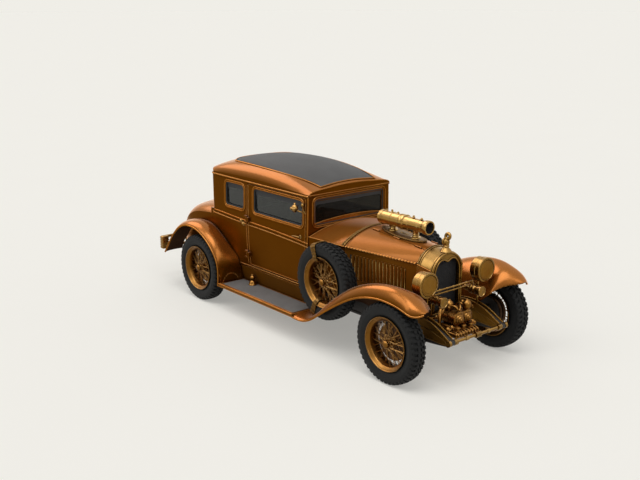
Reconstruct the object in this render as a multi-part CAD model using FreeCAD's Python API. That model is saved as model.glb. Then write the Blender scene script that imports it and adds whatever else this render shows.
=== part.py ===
import FreeCAD, Part
import math
import os

# A vintage two-seat coupe with wire wheels, side mounted spares and open front works.
# Millimetres. X runs forward, Y to the car's left and Z up. Places are worked out from the
# rear axle's line on the ground, and each finished piece is moved so that the origin is
# under the middle of the car's length.

# Wheels and track
WHEELBASE = 3392.0
TRACK_HALF = 778.0
TYRE_RADIUS = 419.0
TYRE_WIDTH = 180.0
TYRE_BORE_RADIUS = 246.0
TYRE_CROWN_DROP = 9.0
RIM_FLANGE_RADIUS = 275.0
RIM_THICKNESS = 13.0
RIM_LIP = 8.0
HUB_RADIUS = 46.0
HUB_CAP_RADIUS = 40.0
HUB_CAP_DEPTH = 34.0
HUB_HALF_LENGTH = 62.0
SPOKE_PAIRS = 14
SPOKE_THICKNESS = 7.0
DRUM_RADIUS = 170.0
DRUM_WIDTH = 42.0
SPINDLE_RADIUS = 19.0
RUNNING_GAP = 0.3
PANEL_GAP = 6.0
OVERRUN = 50.0

# Reach of the car before the front axle and behind the rear axle
FRONT_OVERHANG = 470.0
REAR_OVERHANG = 1060.0

# Chassis rails
RAIL_HALF_SPACING = 380.0
RAIL_WIDTH = 50.0
RAIL_TOP = 540.0
RAIL_HEIGHT = 120.0
RAIL_KICK = 60.0
RAIL_KICK_LENGTH = 1500.0
RAIL_REAR_END = 830.0
RAIL_HORN_LENGTH = 950.0
RAIL_HORN_RISE = 65.0
RAIL_HORN_DROP = 95.0
RAIL_TIP_HEIGHT = 34.0
HORN_EYE_RADIUS = 27.0
JACK_PAD_LENGTH = 80.0
JACK_PAD_THICKNESS = 6.0
JACK_PAD_SHARES = (0.15, 0.87)
CROSS_MEMBER_DEPTH = 32.0
CROSS_MEMBER_WIDTH = 90.0
MEMBER_SHARES = (0.035, 0.6, 1.0)
MEMBER_TO_GEARBOX = 13.0
FRONT_TUBE_RADIUS = 17.0
FRONT_TUBE_BOSS_RADIUS = 32.0
FRONT_TUBE_BOSS_LENGTH = 30.0

# Axles, springs and steering
KINGPIN_HALF_SPACING = 612.0
KINGPIN_RADIUS = 14.0
KINGPIN_BOSS_RADIUS = 29.0
KINGPIN_BOSS_HEIGHT = 90.0
YOKE_THICKNESS = 24.0
YOKE_RADIUS = 31.0
YOKE_STANDOFF = 7.0
BACKPLATE_RADIUS = 164.0
BACKPLATE_THICKNESS = 6.0
AXLE_BEAM_WIDTH = 50.0
AXLE_BEAM_HEIGHT = 55.0
AXLE_BEAM_DROP = 80.0
AXLE_BEAM_FLAT_HALF = 450.0
REAR_TUBE_RADIUS = 40.0
DIFFERENTIAL_RADIUS = 135.0
DIFFERENTIAL_HALF_WIDTH = 120.0
TORQUE_TUBE_RADIUS = 34.0
LEAF_WIDTH = 48.0
LEAF_PACK_HEIGHT = 38.0
LEAF_END_HEIGHT = 14.0
LEAF_EYE_RADIUS = 15.0
REAR_SPRING_HALF_SPACING = 462.0
REAR_SPRING_HALF_LENGTH = 640.0
REAR_SPRING_CAMBER = 50.0
FRONT_SPRING_FRONT = 405.0
FRONT_SPRING_REAR = 520.0
STEERING_LOCK = 30.0
STEERING_ARM_LENGTH = 150.0
STEERING_ARM_WIDTH = 24.0
TIE_ROD_RADIUS = 11.0
STEER_BALL_RADIUS = 17.0

# Power unit, exhaust and tank
ENGINE_TO_RADIATOR = 150.0
ENGINE_HALF_WIDTH = 200.0
ENGINE_BOTTOM = 440.0
ENGINE_TOP = 980.0
ENGINE_TO_FIREWALL = 60.0
ENGINE_FOOT_WIDTH = 60.0
ENGINE_FOOT_HEIGHT = 40.0
GEARBOX_LENGTH = 420.0
GEARBOX_HALF_WIDTH = 115.0
GEARBOX_TOP = 585.0
GEARBOX_BOTTOM = 425.0
EXHAUST_RADIUS = 22.0
EXHAUST_SIDE = 250.0
EXHAUST_HEIGHT = 325.0
EXHAUST_REAR_END = 930.0
SILENCER_RADIUS = 60.0
SILENCER_LENGTH = 600.0
TANK_RADIUS = 105.0
TANK_HEIGHT = 470.0
TANK_X = 640.0

# Cabin
CABIN_REAR = -38.0
CABIN_LENGTH = 1938.0
CABIN_WALL = 40.0
BODY_BOTTOM = 545.0
SILL_HALF_WIDTH = 575.0
MIDDLE_HALF_WIDTH = 600.0
BELT_HALF_WIDTH = 610.0
WINDOW_HALF_WIDTH = 600.0
BODY_MIDDLE_Z = 800.0
BELT_Z = 1070.0
ROOF_BASE_Z = 1600.0
CABIN_CORNER_RADIUS = 95.0
DOOR_REAR = 755.0
DOOR_FRONT_PILLAR = 38.0
DOOR_BOTTOM = 578.0
DOOR_TOP = 1578.0
WINDOW_BOTTOM = 1258.0
WINDOW_TOP = 1540.0
DOOR_WINDOW_FRONT_STILE = 62.0
DOOR_WINDOW_REAR_STILE = 130.0
QUARTER_WINDOW_REAR = 300.0
QUARTER_WINDOW_LENGTH = 380.0
WINDOW_CORNER_RADIUS = 45.0
REAR_WINDOW_HALF_WIDTH = 300.0
REAR_WINDOW_BOTTOM = 1320.0
REAR_WINDOW_HEIGHT = 170.0
WINDSHIELD_HALF_WIDTH = 517.0
WINDSHIELD_BOTTOM = 1275.0
WINDSHIELD_TOP = 1560.0
WINDSHIELD_RAIL = 22.0
WINDSHIELD_RAIL_DEPTH = 26.0
GLASS_THICKNESS = 6.0
FLOOR_Z = 601.0
FLOOR_THICKNESS = 24.0
FOOTWELL_HALF_WIDTH = 440.0
FOOTWELL_TOP = 1060.0

# Roof
ROOF_EDGE = 20.0
ROOF_CROWN = 255.0
ROOF_SHOULDER_HALF = 450.0
ROOF_SHOULDER_DROP = 61.0
ROOF_WALL = 28.0
ROOF_INSERT_THICKNESS = 6.0
ROOF_INSERT_REAR = 90.0
ROOF_INSERT_FRONT_MARGIN = 30.0
ROOF_INSERT_HALF_REAR = 450.0
ROOF_INSERT_HALF_MIDDLE = 490.0
ROOF_INSERT_HALF_FRONT = 405.0
ROOF_VISOR = 12.0
ROOF_DRIP = 5.0

# Cowl and hood
COWL_LENGTH = 470.0
COWL_BOTTOM = 560.0
COWL_REAR_HALF = 600.0
COWL_REAR_BEAD_Z = 1158.0
COWL_REAR_CROWN_Z = 1268.0
HOOD_REAR_HALF = 480.0
HOOD_REAR_BEAD_Z = 1120.0
HOOD_REAR_CROWN_Z = 1285.0
HOOD_FRONT_HALF = 240.0
HOOD_FRONT_BEAD_Z = 1070.0
HOOD_FRONT_CROWN_Z = 1232.0
HOOD_WALL = 12.0
COWL_WALL = 25.0
HOOD_STRIP_HALF = 118.0
HOOD_SIDE_REAR_BOTTOM = 600.0
HOOD_SIDE_FRONT_BOTTOM = 640.0
LOUVRE_COUNT = 15
LOUVRE_REAR_MARGIN = 95.0
LOUVRE_FRONT_MARGIN = 150.0
LOUVRE_TOP_MARGIN = 60.0
LOUVRE_HEIGHT = 270.0
LOUVRE_DEPTH = 12.0

# Radiator
RADIATOR_BACK_SETBACK = 192.0
RADIATOR_DEPTH = 197.0
RADIATOR_FRONT_HALF = 222.0
RADIATOR_FRONT_CROWN_Z = 1195.0
RADIATOR_FRONT_BEAD_Z = 1030.0
RADIATOR_BOTTOM = 545.0
RADIATOR_BORDER = 42.0
RADIATOR_CORE_SETBACK = 45.0
RADIATOR_CORE_DEPTH = 90.0
RADIATOR_CUSP = 34.0
CAP_RADIUS = 38.0
CAP_HEIGHT = 70.0
CAP_RING_RADIUS = 31.0
CAP_RING_TUBE = 11.0
CAP_SETBACK = 48.0

# Brass tube on the hood
SCOPE_Z = 1400.0
SCOPE_RADIUS = 78.0
SCOPE_FRONT_RADIUS = 74.0
SCOPE_BORE_RADIUS = 58.0
SCOPE_BORE_DEPTH = 120.0
SCOPE_REAR_X = 35.0
SCOPE_LENGTH = 735.0
SCOPE_RING_WIDTH = 40.0
SCOPE_PLATE_THICKNESS = 14.0
SCOPE_PLATE_HALF = 108.0
SCOPE_PLATE_LENGTH = 640.0
SCOPE_POST_RADIUS = 34.0

# Lamps, horns and their bar
LAMP_FACE_LEAD = 167.0
LAMP_HALF_SPACING = 428.0
LAMP_Z = 968.0
LAMP_DRUM_RADIUS = 125.0
LAMP_FACE_RADIUS = 109.0
LAMP_DEPTH = 120.0
LAMP_FACE_PROUD = 12.0
LAMP_DOME = 40.0
BAR_RADIUS = 9.0
BAR_DROP = 107.0
BAR_SPACING = 34.0
BAR_POST_RADIUS = 12.0
HORN_HALF_SPACING = 284.0
HORN_Z = 781.0
HORN_LENGTH = 230.0
HORN_MOUTH_RADIUS = 50.0
HORN_THROAT_RADIUS = 17.0
HORN_LEAD = 237.0

# Blower ahead of the radiator
BLOWER_LENGTH = 200.0
BLOWER_RADIUS = 78.0
BLOWER_HALF_SPACING = 60.0
BLOWER_Z = 560.0
BLOWER_LEAD = 50.0
POT_RADIUS = 46.0
POT_RISE = 128.0
POT_SPACING = 150.0

# Fenders and running boards
FENDER_OUTER = 870.0
FENDER_THICKNESS = 9.0
BOARD_REAR = 470.0
BOARD_FRONT = 1940.0
BOARD_TOP = 334.0
BOARD_THICKNESS = 38.0
BOARD_INNER = 500.0
BOARD_MAT_THICKNESS = 6.0
BOARD_MAT_MARGIN = 32.0
VALANCE_THICKNESS = 10.0
FRONT_FENDER_LIP_LOW = 300.0
FRONT_FENDER_LIP_RISE = 576.0
FRONT_FENDER_NOSE = 425.0
FRONT_FENDER_CROWN = 135.0
FENDER_CROWN_SHARE = 0.44
REAR_FENDER_RADIUS = 480.0
REAR_FENDER_CROWN = 62.0
REAR_FENDER_CROWN_Y = 752.0
REAR_FENDER_INNER = 590.0

# Spare wheels in the front fender wells
SPARE_X = 2318.0
SPARE_Z = 770.0
SPARE_OUTER = 782.0
SPARE_STRAP_THICKNESS = 5.0
SPARE_STRAP_ANGLE = 7.0
SPARE_STRAP_TOP_ANGLE = 112.0
SPARE_STRAP_BOTTOM_ANGLE = 254.0
SPARE_CARRIER_RADIUS = 45.0
WELL_CLEARANCE = 9.0
LOCKED_TYRE_CLEARANCE = 6.0

# Rear deck
DECK_LENGTH = 870.0
DECK_FRONT_CROWN_Z = 1207.0
DECK_WALL = 28.0
DECK_BOTTOM = 520.0
DECK_FLOOR_SHARE = 0.7
DECK_FLOOR_LENGTH_SHARE = 0.8
LID_FRONT = 110.0
LID_LENGTH = 560.0
LID_HALF_WIDTH = 400.0

# Seat, dashboard and steering wheel
SEAT_HALF_WIDTH = 530.0
SEAT_REAR = 560.0
SEAT_CUSHION_LENGTH = 560.0
SEAT_CUSHION_TOP = 860.0
SEAT_BACK_THICKNESS = 150.0
SEAT_BACK_TOP = 1330.0
SEAT_BACK_LEAN = 90.0
DASH_DEPTH = 50.0
DASH_BOTTOM = 1080.0
DASH_HEIGHT = 165.0
COLUMN_SIDE = 300.0
COLUMN_RADIUS = 20.0
COLUMN_ANGLE = 27.0
STEERING_WHEEL_RADIUS = 205.0
STEERING_RIM_RADIUS = 13.0
STEERING_SPOKE_RADIUS = 8.0
STEERING_HUB_RADIUS = 34.0
STEERING_HUB_DEPTH = 46.0
STEERING_WHEEL_SETBACK = 395.0
STEERING_WHEEL_Z = 1130.0

# Pin hinges of the doors, hood halves and deck lid
HINGE_RADIUS = 11.0
HINGE_PIN_RADIUS = 4.0
HINGE_LENGTH = 56.0
HINGE_COLLAR = 16.0
HINGE_ARM = 42.0
DOOR_HINGE_STANDOFF = 14.0
DOOR_HINGE_HEIGHTS = (720.0, 1150.0)
HOOD_HINGE_RISE = 5.0
HOOD_HINGE_SHARES = (0.12, 0.5, 0.88)
LID_HINGE_Z = 1207.0
LID_HINGE_SIDE = 150.0

# Small brass pieces
SIDE_LAMP_RADIUS = 40.0
SIDE_LAMP_Z = 1465.0
SIDE_LAMP_STANDOFF = 72.0
SIDE_LAMP_SETBACK = 110.0
SIDE_LAMP_ARM_RADIUS = 7.0
BUMPER_HALF_WIDTH = 765.0
BUMPER_BAR_RADIUS = 20.0
BUMPER_LOW_Z = 455.0
BUMPER_HIGH_Z = 595.0
BUMPER_POST_RADIUS = 17.0

# Places that follow from the sizes above
front_axle_x = WHEELBASE
front_reach = WHEELBASE + FRONT_OVERHANG
origin_x = (front_reach - REAR_OVERHANG) / 2
axle_z = TYRE_RADIUS
cabin_front = CABIN_REAR + CABIN_LENGTH
hood_rear = cabin_front + COWL_LENGTH
hood_front = front_axle_x - RADIATOR_BACK_SETBACK
radiator_face = hood_front + RADIATOR_DEPTH
engine_rear = hood_rear + ENGINE_TO_FIREWALL
engine_front = hood_front - ENGINE_TO_RADIATOR
gearbox_rear = engine_rear - GEARBOX_LENGTH
door_front = cabin_front - DOOR_FRONT_PILLAR
rail_outer = RAIL_HALF_SPACING + RAIL_WIDTH / 2
rail_inner = RAIL_HALF_SPACING - RAIL_WIDTH / 2
fender_inner = rail_outer + RUNNING_GAP
horn_tip_x = front_reach - FRONT_TUBE_BOSS_RADIUS
horn_tip_z = RAIL_TOP - RAIL_HORN_DROP
floor_top = FLOOR_Z + FLOOR_THICKNESS


def vec(x, y, z):
    return FreeCAD.Vector(x, y, z)


def block(x_low, x_high, y_low, y_high, z_low, z_high):
    corner = vec(x_low, y_low, z_low)
    return Part.makeBox(x_high - x_low, y_high - y_low, z_high - z_low, corner)


def rod(start, end, radius):
    line = end.sub(start)
    return Part.makeCylinder(radius, line.Length, start, line)


def ball(centre, radius):
    return Part.makeSphere(radius, centre)


def joined(shapes):
    first = shapes[0]
    return first.fuse(list(shapes[1:])).removeSplitter() if len(shapes) > 1 else first


def mirrored(shape):
    return shape.mirror(vec(0, 0, 0), vec(0, 1, 0))


def pair(shape):
    """The right-hand piece with its mirror image on the left."""
    return Part.makeCompound([shape, mirrored(shape)])


def spline(points):
    curve = Part.BSplineCurve()
    curve.interpolate(list(points))
    return curve.toShape()


def line(start, end):
    return Part.makeLine(start, end)


def face(edges):
    return Part.Face(Part.Wire(list(edges)))


def polygon_face(points):
    return Part.Face(Part.makePolygon(list(points) + [points[0]]))


def moved(shape, x, y, z):
    copy = shape.copy()
    copy.translate(vec(x, y, z))
    return copy


def rounded_outline(across_low, across_high, z_low, z_high, radius, place):
    """A rounded rectangle; place turns a distance across and a height into a point."""
    r = radius
    s = radius * (1 - math.sqrt(2) / 2)
    edges = [line(place(across_low + r, z_low), place(across_high - r, z_low)),
             Part.Arc(place(across_high - r, z_low), place(across_high - s, z_low + s),
                      place(across_high, z_low + r)).toShape(),
             line(place(across_high, z_low + r), place(across_high, z_high - r)),
             Part.Arc(place(across_high, z_high - r), place(across_high - s, z_high - s),
                      place(across_high - r, z_high)).toShape(),
             line(place(across_high - r, z_high), place(across_low + r, z_high)),
             Part.Arc(place(across_low + r, z_high), place(across_low + s, z_high - s),
                      place(across_low, z_high - r)).toShape(),
             line(place(across_low, z_high - r), place(across_low, z_low + r)),
             Part.Arc(place(across_low, z_low + r), place(across_low + s, z_low + s),
                      place(across_low + r, z_low)).toShape()]
    return face(edges)


def rounded_rectangle_x(x, y_low, y_high, z_low, z_high, radius):
    """A rounded rectangle in the plane across the car at one place along it."""
    return rounded_outline(y_low, y_high, z_low, z_high, radius, lambda y, z: vec(x, y, z))


def rounded_rectangle_y(y, x_low, x_high, z_low, z_high, radius):
    """A rounded rectangle in the plane along the car at one place across it."""
    return rounded_outline(x_low, x_high, z_low, z_high, radius, lambda x, z: vec(x, y, z))


def hung(moving, fixed, centre, direction, moving_arms=(), fixed_arms=()):
    """Hang one piece on another by a pin hinge, and give both back with their knuckles."""
    unit = vec(direction.x, direction.y, direction.z).normalize()
    half = vec(unit.x, unit.y, unit.z).multiply(HINGE_LENGTH / 2)
    end = vec(unit.x, unit.y, unit.z).multiply(HINGE_LENGTH / 2 + HINGE_COLLAR)
    slack = vec(unit.x, unit.y, unit.z).multiply(RUNNING_GAP)
    low, start, stop, high = (centre.sub(end), centre.sub(half), centre.add(half), centre.add(end))
    room = HINGE_RADIUS + RUNNING_GAP
    sleeve = rod(start.add(slack), stop.sub(slack), HINGE_RADIUS)
    bore = rod(low, high, HINGE_PIN_RADIUS + RUNNING_GAP)
    collar_room = [rod(low.sub(slack), start, room), rod(stop, high.add(slack), room)]
    collars = [rod(low, start, HINGE_RADIUS), rod(stop, high, HINGE_RADIUS)]
    pin = rod(low, high, HINGE_PIN_RADIUS)
    moving = joined([moving.cut(collar_room), sleeve] + list(moving_arms)).cut(bore)
    fixed = joined([fixed.cut(rod(start, stop, room)), pin] + collars + list(fixed_arms))
    return moving, fixed


# Wheels

def tyre_section(grow):
    """Half section of the tyre, axial distance along Y and radius along Z."""
    half = TYRE_WIDTH / 2
    bead_half = half * 0.66
    bore = TYRE_BORE_RADIUS - grow
    depth = TYRE_RADIUS - TYRE_BORE_RADIUS
    shoulder_z = TYRE_RADIUS - TYRE_CROWN_DROP + grow
    side = ((bead_half, 0), (bead_half * 1.1, 0.19), (half, 0.52), (half * 0.95, 0.80))
    right = [vec(0, y + grow, TYRE_BORE_RADIUS + depth * share) for y, share in side[1:]]
    right = [vec(0, bead_half + grow, bore)] + right + [vec(0, half * 0.8 + grow, shoulder_z)]
    left = [vec(0, -p.y, p.z) for p in right]
    crown = Part.Arc(right[-1], vec(0, 0, TYRE_RADIUS + grow), left[-1]).toShape()
    return Part.Wire([line(left[0], right[0]), spline(right), crown, spline(left[::-1])])


def make_tyre():
    return Part.Face(tyre_section(0)).revolve(vec(0, 0, 0), vec(0, 1, 0), 360)


def make_rim():
    half = TYRE_WIDTH / 2
    bed = TYRE_BORE_RADIUS - RUNNING_GAP
    inner = bed - RIM_THICKNESS
    well = half * 0.6
    profile = [vec(0, -half * 0.9, inner), vec(0, -half * 0.98, RIM_FLANGE_RADIUS),
               vec(0, -half * 0.98 + RIM_LIP, RIM_FLANGE_RADIUS), vec(0, -well - RIM_LIP, bed),
               vec(0, well + RIM_LIP, bed), vec(0, half * 0.98 - RIM_LIP, RIM_FLANGE_RADIUS),
               vec(0, half * 0.98, RIM_FLANGE_RADIUS), vec(0, half * 0.9, inner),
               vec(0, half * 0.3, inner - RIM_LIP), vec(0, -half * 0.3, inner - RIM_LIP)]
    return polygon_face(profile).revolve(vec(0, 0, 0), vec(0, 1, 0), 360)


def make_hub(bored):
    """Hub barrel and cap, its outer end towards plus Y."""
    out = HUB_HALF_LENGTH
    cap_end = out + HUB_CAP_DEPTH
    core = SPINDLE_RADIUS + RUNNING_GAP if bored else 0
    points = [vec(0, -out, core), vec(0, -out, HUB_RADIUS), vec(0, -out * 0.7, HUB_RADIUS),
              vec(0, -out * 0.4, HUB_RADIUS * 0.72), vec(0, out * 0.4, HUB_RADIUS * 0.72),
              vec(0, out * 0.6, HUB_RADIUS), vec(0, out, HUB_RADIUS), vec(0, out, HUB_CAP_RADIUS),
              vec(0, cap_end * 0.92, HUB_CAP_RADIUS * 0.86), vec(0, cap_end, HUB_CAP_RADIUS * 0.5),
              vec(0, cap_end, 0)]
    if bored:
        points += [vec(0, out, 0), vec(0, out, core)]
    return polygon_face(points).revolve(vec(0, 0, 0), vec(0, 1, 0), 360)


def make_spoke(turn, hub_y, rim_y, lean):
    """One wire from the hub flange to the rim, leaning round the hub by an angle."""
    hub_at = math.radians(turn - lean)
    rim_at = math.radians(turn + lean / 4)
    hub_r = HUB_RADIUS * 0.8
    rim_r = TYRE_BORE_RADIUS - RIM_THICKNESS
    start = vec(hub_r * math.cos(hub_at), hub_y, hub_r * math.sin(hub_at))
    end = vec(rim_r * math.cos(rim_at), rim_y, rim_r * math.sin(rim_at))
    run = end.sub(start)
    half = SPOKE_THICKNESS / 2
    wire = Part.makeBox(SPOKE_THICKNESS, SPOKE_THICKNESS, run.Length, vec(-half, -half, 0))
    wire.Placement = FreeCAD.Placement(start, FreeCAD.Rotation(vec(0, 0, 1), run))
    return wire


def make_wheel(bored):
    spokes = []
    step = 360.0 / SPOKE_PAIRS
    for index in range(SPOKE_PAIRS):
        lean = 55.0 if index % 2 else -55.0
        spokes.append(make_spoke(index * step, HUB_HALF_LENGTH * 0.8, TYRE_WIDTH * 0.08, lean))
        spokes.append(make_spoke((index + 0.5) * step, -HUB_HALF_LENGTH * 0.85,
                                 -TYRE_WIDTH * 0.08, lean))
    return joined([make_rim(), make_hub(bored)] + spokes)


def make_drum():
    """Brake drum on the wheel's inner side, bored for the spindle."""
    outer = -HUB_HALF_LENGTH + RIM_LIP
    inner = outer - DRUM_WIDTH
    bore = SPINDLE_RADIUS + RUNNING_GAP
    points = [vec(0, outer, bore), vec(0, outer, DRUM_RADIUS * 0.9), vec(0, outer - RIM_LIP, DRUM_RADIUS),
              vec(0, inner, DRUM_RADIUS), vec(0, inner, bore)]
    return polygon_face(points).revolve(vec(0, 0, 0), vec(0, 1, 0), 360)


drum_inner = TRACK_HALF - HUB_HALF_LENGTH + RIM_LIP - DRUM_WIDTH
backplate_outer = drum_inner - PANEL_GAP

parts = {}


def keep(name, shape):
    parts[name] = shape


def make_wheels():
    tyre = make_tyre()
    road_wheel = joined([make_wheel(True), make_drum()])
    spare = make_wheel(False)
    for end, x in (("front", front_axle_x), ("rear", 0)):
        left_tyre = moved(tyre, x, TRACK_HALF, axle_z)
        left_wheel = moved(road_wheel, x, TRACK_HALF, axle_z)
        keep("tyre_" + end + "_left", left_tyre)
        keep("wheel_" + end + "_left", left_wheel)
        keep("tyre_" + end + "_right", mirrored(left_tyre))
        keep("wheel_" + end + "_right", mirrored(left_wheel))
    spare_y = SPARE_OUTER - TYRE_WIDTH / 2
    keep("spare_tyres", pair(moved(tyre, SPARE_X, spare_y, SPARE_Z)))
    keep("spare_wheels", pair(moved(spare, SPARE_X, spare_y, SPARE_Z)))
    holder = moved(make_spare_holder(), SPARE_X, spare_y, SPARE_Z)
    keep("spare_straps", pair(holder.cut(cowl_block())))


def strap_section(grow):
    """Outline that clears the spare's tyre and rim, grown outwards by the strap's thickness."""
    half = TYRE_WIDTH / 2
    depth = TYRE_RADIUS - TYRE_BORE_RADIUS
    inside = TYRE_BORE_RADIUS - RIM_THICKNESS - RIM_LIP * 1.5 - grow
    right = [vec(0, half + grow, inside), vec(0, half + grow, TYRE_BORE_RADIUS + depth * 0.52),
             vec(0, half * 0.95 + grow, TYRE_BORE_RADIUS + depth * 0.80),
             vec(0, half * 0.8 + grow, TYRE_RADIUS - TYRE_CROWN_DROP + grow)]
    left = [vec(0, -p.y, p.z) for p in right]
    edges = [line(left[0], right[0])]
    edges += [line(low, high) for low, high in zip(right, right[1:])]
    edges.append(Part.Arc(right[-1], vec(0, 0, TYRE_RADIUS + grow), left[-1]).toShape())
    edges += [line(high, low) for low, high in reversed(list(zip(left, left[1:])))]
    return Part.Face(Part.Wire(edges))


def make_spare_holder():
    """Two straps round the spare tyre, and the boss that carries its wheel."""
    slack = RUNNING_GAP
    band = strap_section(SPARE_STRAP_THICKNESS + slack).cut(strap_section(slack))
    band = band.cut(Part.Face(tyre_section(slack)))
    pieces = []
    for angle in (SPARE_STRAP_TOP_ANGLE, SPARE_STRAP_BOTTOM_ANGLE):
        strap = band.revolve(vec(0, 0, 0), vec(0, 1, 0), SPARE_STRAP_ANGLE)
        strap.rotate(vec(0, 0, 0), vec(0, 1, 0), 90 - angle)
        pieces.append(strap)
    hub_end = HUB_HALF_LENGTH + RUNNING_GAP
    reach = SPARE_OUTER - TYRE_WIDTH / 2 - HOOD_REAR_HALF + COWL_WALL
    pieces.append(rod(vec(0, -hub_end, 0), vec(0, -reach, 0), SPARE_CARRIER_RADIUS))
    return Part.makeCompound(pieces)


# Chassis

def rail_top_at(share_points, start, length, base, rise):
    return [vec(start + length * along, 0, base + rise * up) for along, up in share_points]


def make_rails():
    """One rail: kicked up over the rear axle, straight under the body, curved to the front tip."""
    kick_shares = ((0.0, 0.15), (0.25, 0.75), (0.5, 1.0), (0.75, 0.72), (1.0, 0.0))
    kick_start = -RAIL_REAR_END
    rear_top = rail_top_at(kick_shares, kick_start, RAIL_KICK_LENGTH, RAIL_TOP, RAIL_KICK)
    horn_start = horn_tip_x - RAIL_HORN_LENGTH
    horn_shares = ((0.0, 0.0), (0.18, 0.35), (0.34, 0.85), (0.5, 1.0), (0.66, 0.62))
    horn_top = rail_top_at(horn_shares, horn_start, RAIL_HORN_LENGTH, RAIL_TOP, RAIL_HORN_RISE)
    horn_top.append(vec(horn_tip_x, 0, horn_tip_z + RAIL_TIP_HEIGHT / 2))
    depth_shares = (0.55, 0.62, 0.667, 0.8, 1.0)
    rear_low = [vec(p.x, 0, p.z - RAIL_HEIGHT * d) for p, d in zip(rear_top, depth_shares)]
    front_shares = (1.0, 0.98, 0.8, 0.62, 0.5)
    front_low = [vec(p.x, 0, p.z - RAIL_HEIGHT * d) for p, d in zip(horn_top, front_shares)]
    front_low.append(vec(horn_tip_x, 0, horn_tip_z - RAIL_TIP_HEIGHT / 2))
    edges = [spline(rear_top), line(rear_top[-1], horn_top[0]), spline(horn_top),
             line(horn_top[-1], front_low[-1]), spline(front_low[::-1]),
             line(front_low[0], rear_low[-1]), spline(rear_low[::-1]), line(rear_low[0], rear_top[0])]
    profile = face(edges)
    rail = moved(profile.extrude(vec(0, RAIL_WIDTH, 0)), 0, -rail_outer, 0)
    eye = rod(vec(horn_tip_x, -rail_outer, horn_tip_z), vec(horn_tip_x, -rail_inner, horn_tip_z),
              HORN_EYE_RADIUS)
    straight = kick_start + RAIL_KICK_LENGTH
    rail_low = RAIL_TOP - RAIL_HEIGHT
    pads = []
    for share in JACK_PAD_SHARES:
        x = straight + (horn_start - straight) * share
        pads.append(block(x - JACK_PAD_LENGTH / 2, x + JACK_PAD_LENGTH / 2, -rail_outer, -rail_inner,
                          rail_low - JACK_PAD_THICKNESS, rail_low))
    bore = rod(vec(horn_tip_x, -rail_outer - OVERRUN, horn_tip_z),
               vec(horn_tip_x, -rail_inner + OVERRUN, horn_tip_z), FRONT_TUBE_RADIUS + RUNNING_GAP)
    return joined([rail, eye] + pads).cut(bore)


def make_cross_members():
    """Straight members between the rails, and one that carries the radiator."""
    half = CROSS_MEMBER_WIDTH / 2
    places = [member_x(share) for share in MEMBER_SHARES]
    members = [block(x - half, x + half, -rail_inner, rail_inner, RAIL_TOP - CROSS_MEMBER_DEPTH, RAIL_TOP)
               for x in places]
    radiator_x = hood_front + RADIATOR_DEPTH / 2
    radiator_seat = RADIATOR_BOTTOM - RUNNING_GAP
    members.append(block(radiator_x - half, radiator_x + half, -rail_inner, rail_inner,
                         radiator_seat - CROSS_MEMBER_DEPTH, radiator_seat))
    rear_z = RAIL_TOP + RAIL_KICK * 0.1
    members.append(block(-RAIL_REAR_END + CROSS_MEMBER_DEPTH / 2,
                         -RAIL_REAR_END + CROSS_MEMBER_DEPTH * 1.5,
                         -rail_inner, rail_inner, rear_z - half, rear_z))
    return Part.makeCompound(members)


def member_x(share):
    """Place of a cross member, from the end of the rails' kick to the one behind the gearbox."""
    kick_end = -RAIL_REAR_END + RAIL_KICK_LENGTH
    last = gearbox_rear - MEMBER_TO_GEARBOX - CROSS_MEMBER_WIDTH / 2
    return kick_end + (last - kick_end) * share


def make_front_tube():
    """Tube between the rail tips, with a ribbed boss at each end and one in the middle."""
    end_y = rail_outer + FRONT_TUBE_BOSS_LENGTH
    tube = rod(vec(horn_tip_x, -end_y, horn_tip_z), vec(horn_tip_x, end_y, horn_tip_z), FRONT_TUBE_RADIUS)
    pieces = [tube]
    gap = RUNNING_GAP
    for side in (-1, 1):
        start = vec(horn_tip_x, side * (rail_outer + gap), horn_tip_z)
        pieces.append(rod(start, vec(horn_tip_x, side * end_y, horn_tip_z), FRONT_TUBE_BOSS_RADIUS))
        inner = side * (rail_inner - gap)
        collar = inner - side * FRONT_TUBE_BOSS_LENGTH
        pieces.append(rod(vec(horn_tip_x, inner, horn_tip_z), vec(horn_tip_x, collar, horn_tip_z),
                          FRONT_TUBE_BOSS_RADIUS * 0.85))
    pieces.append(rod(vec(horn_tip_x, -FRONT_TUBE_BOSS_LENGTH, horn_tip_z),
                      vec(horn_tip_x, FRONT_TUBE_BOSS_LENGTH, horn_tip_z), FRONT_TUBE_BOSS_RADIUS * 0.85))
    return joined(pieces)


def make_front_axle():
    """Dropped beam with a boss at each end for the kingpin."""
    low = axle_z - AXLE_BEAM_DROP - AXLE_BEAM_HEIGHT / 2
    high = low + AXLE_BEAM_HEIGHT
    end_low = axle_z - KINGPIN_BOSS_HEIGHT * 0.4
    end_high = axle_z + KINGPIN_BOSS_HEIGHT * 0.4
    flat = AXLE_BEAM_FLAT_HALF
    end = KINGPIN_HALF_SPACING
    neck = end - YOKE_RADIUS * 1.5
    points = [vec(0, 0, low), vec(0, flat, low), vec(0, neck, end_low), vec(0, end, end_low),
              vec(0, end, end_high), vec(0, neck, end_high), vec(0, flat * 0.93, high), vec(0, 0, high)]
    half_beam = polygon_face(points).extrude(vec(AXLE_BEAM_WIDTH, 0, 0))
    half_beam = moved(half_beam, front_axle_x - AXLE_BEAM_WIDTH / 2, 0, 0)
    boss = rod(vec(front_axle_x, end, axle_z - KINGPIN_BOSS_HEIGHT / 2),
               vec(front_axle_x, end, axle_z + KINGPIN_BOSS_HEIGHT / 2), KINGPIN_BOSS_RADIUS)
    bore = rod(vec(front_axle_x, end, axle_z - KINGPIN_BOSS_HEIGHT),
               vec(front_axle_x, end, axle_z + KINGPIN_BOSS_HEIGHT), KINGPIN_RADIUS + RUNNING_GAP)
    half = joined([half_beam, boss]).cut(bore)
    return joined([half, mirrored(half)])


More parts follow.
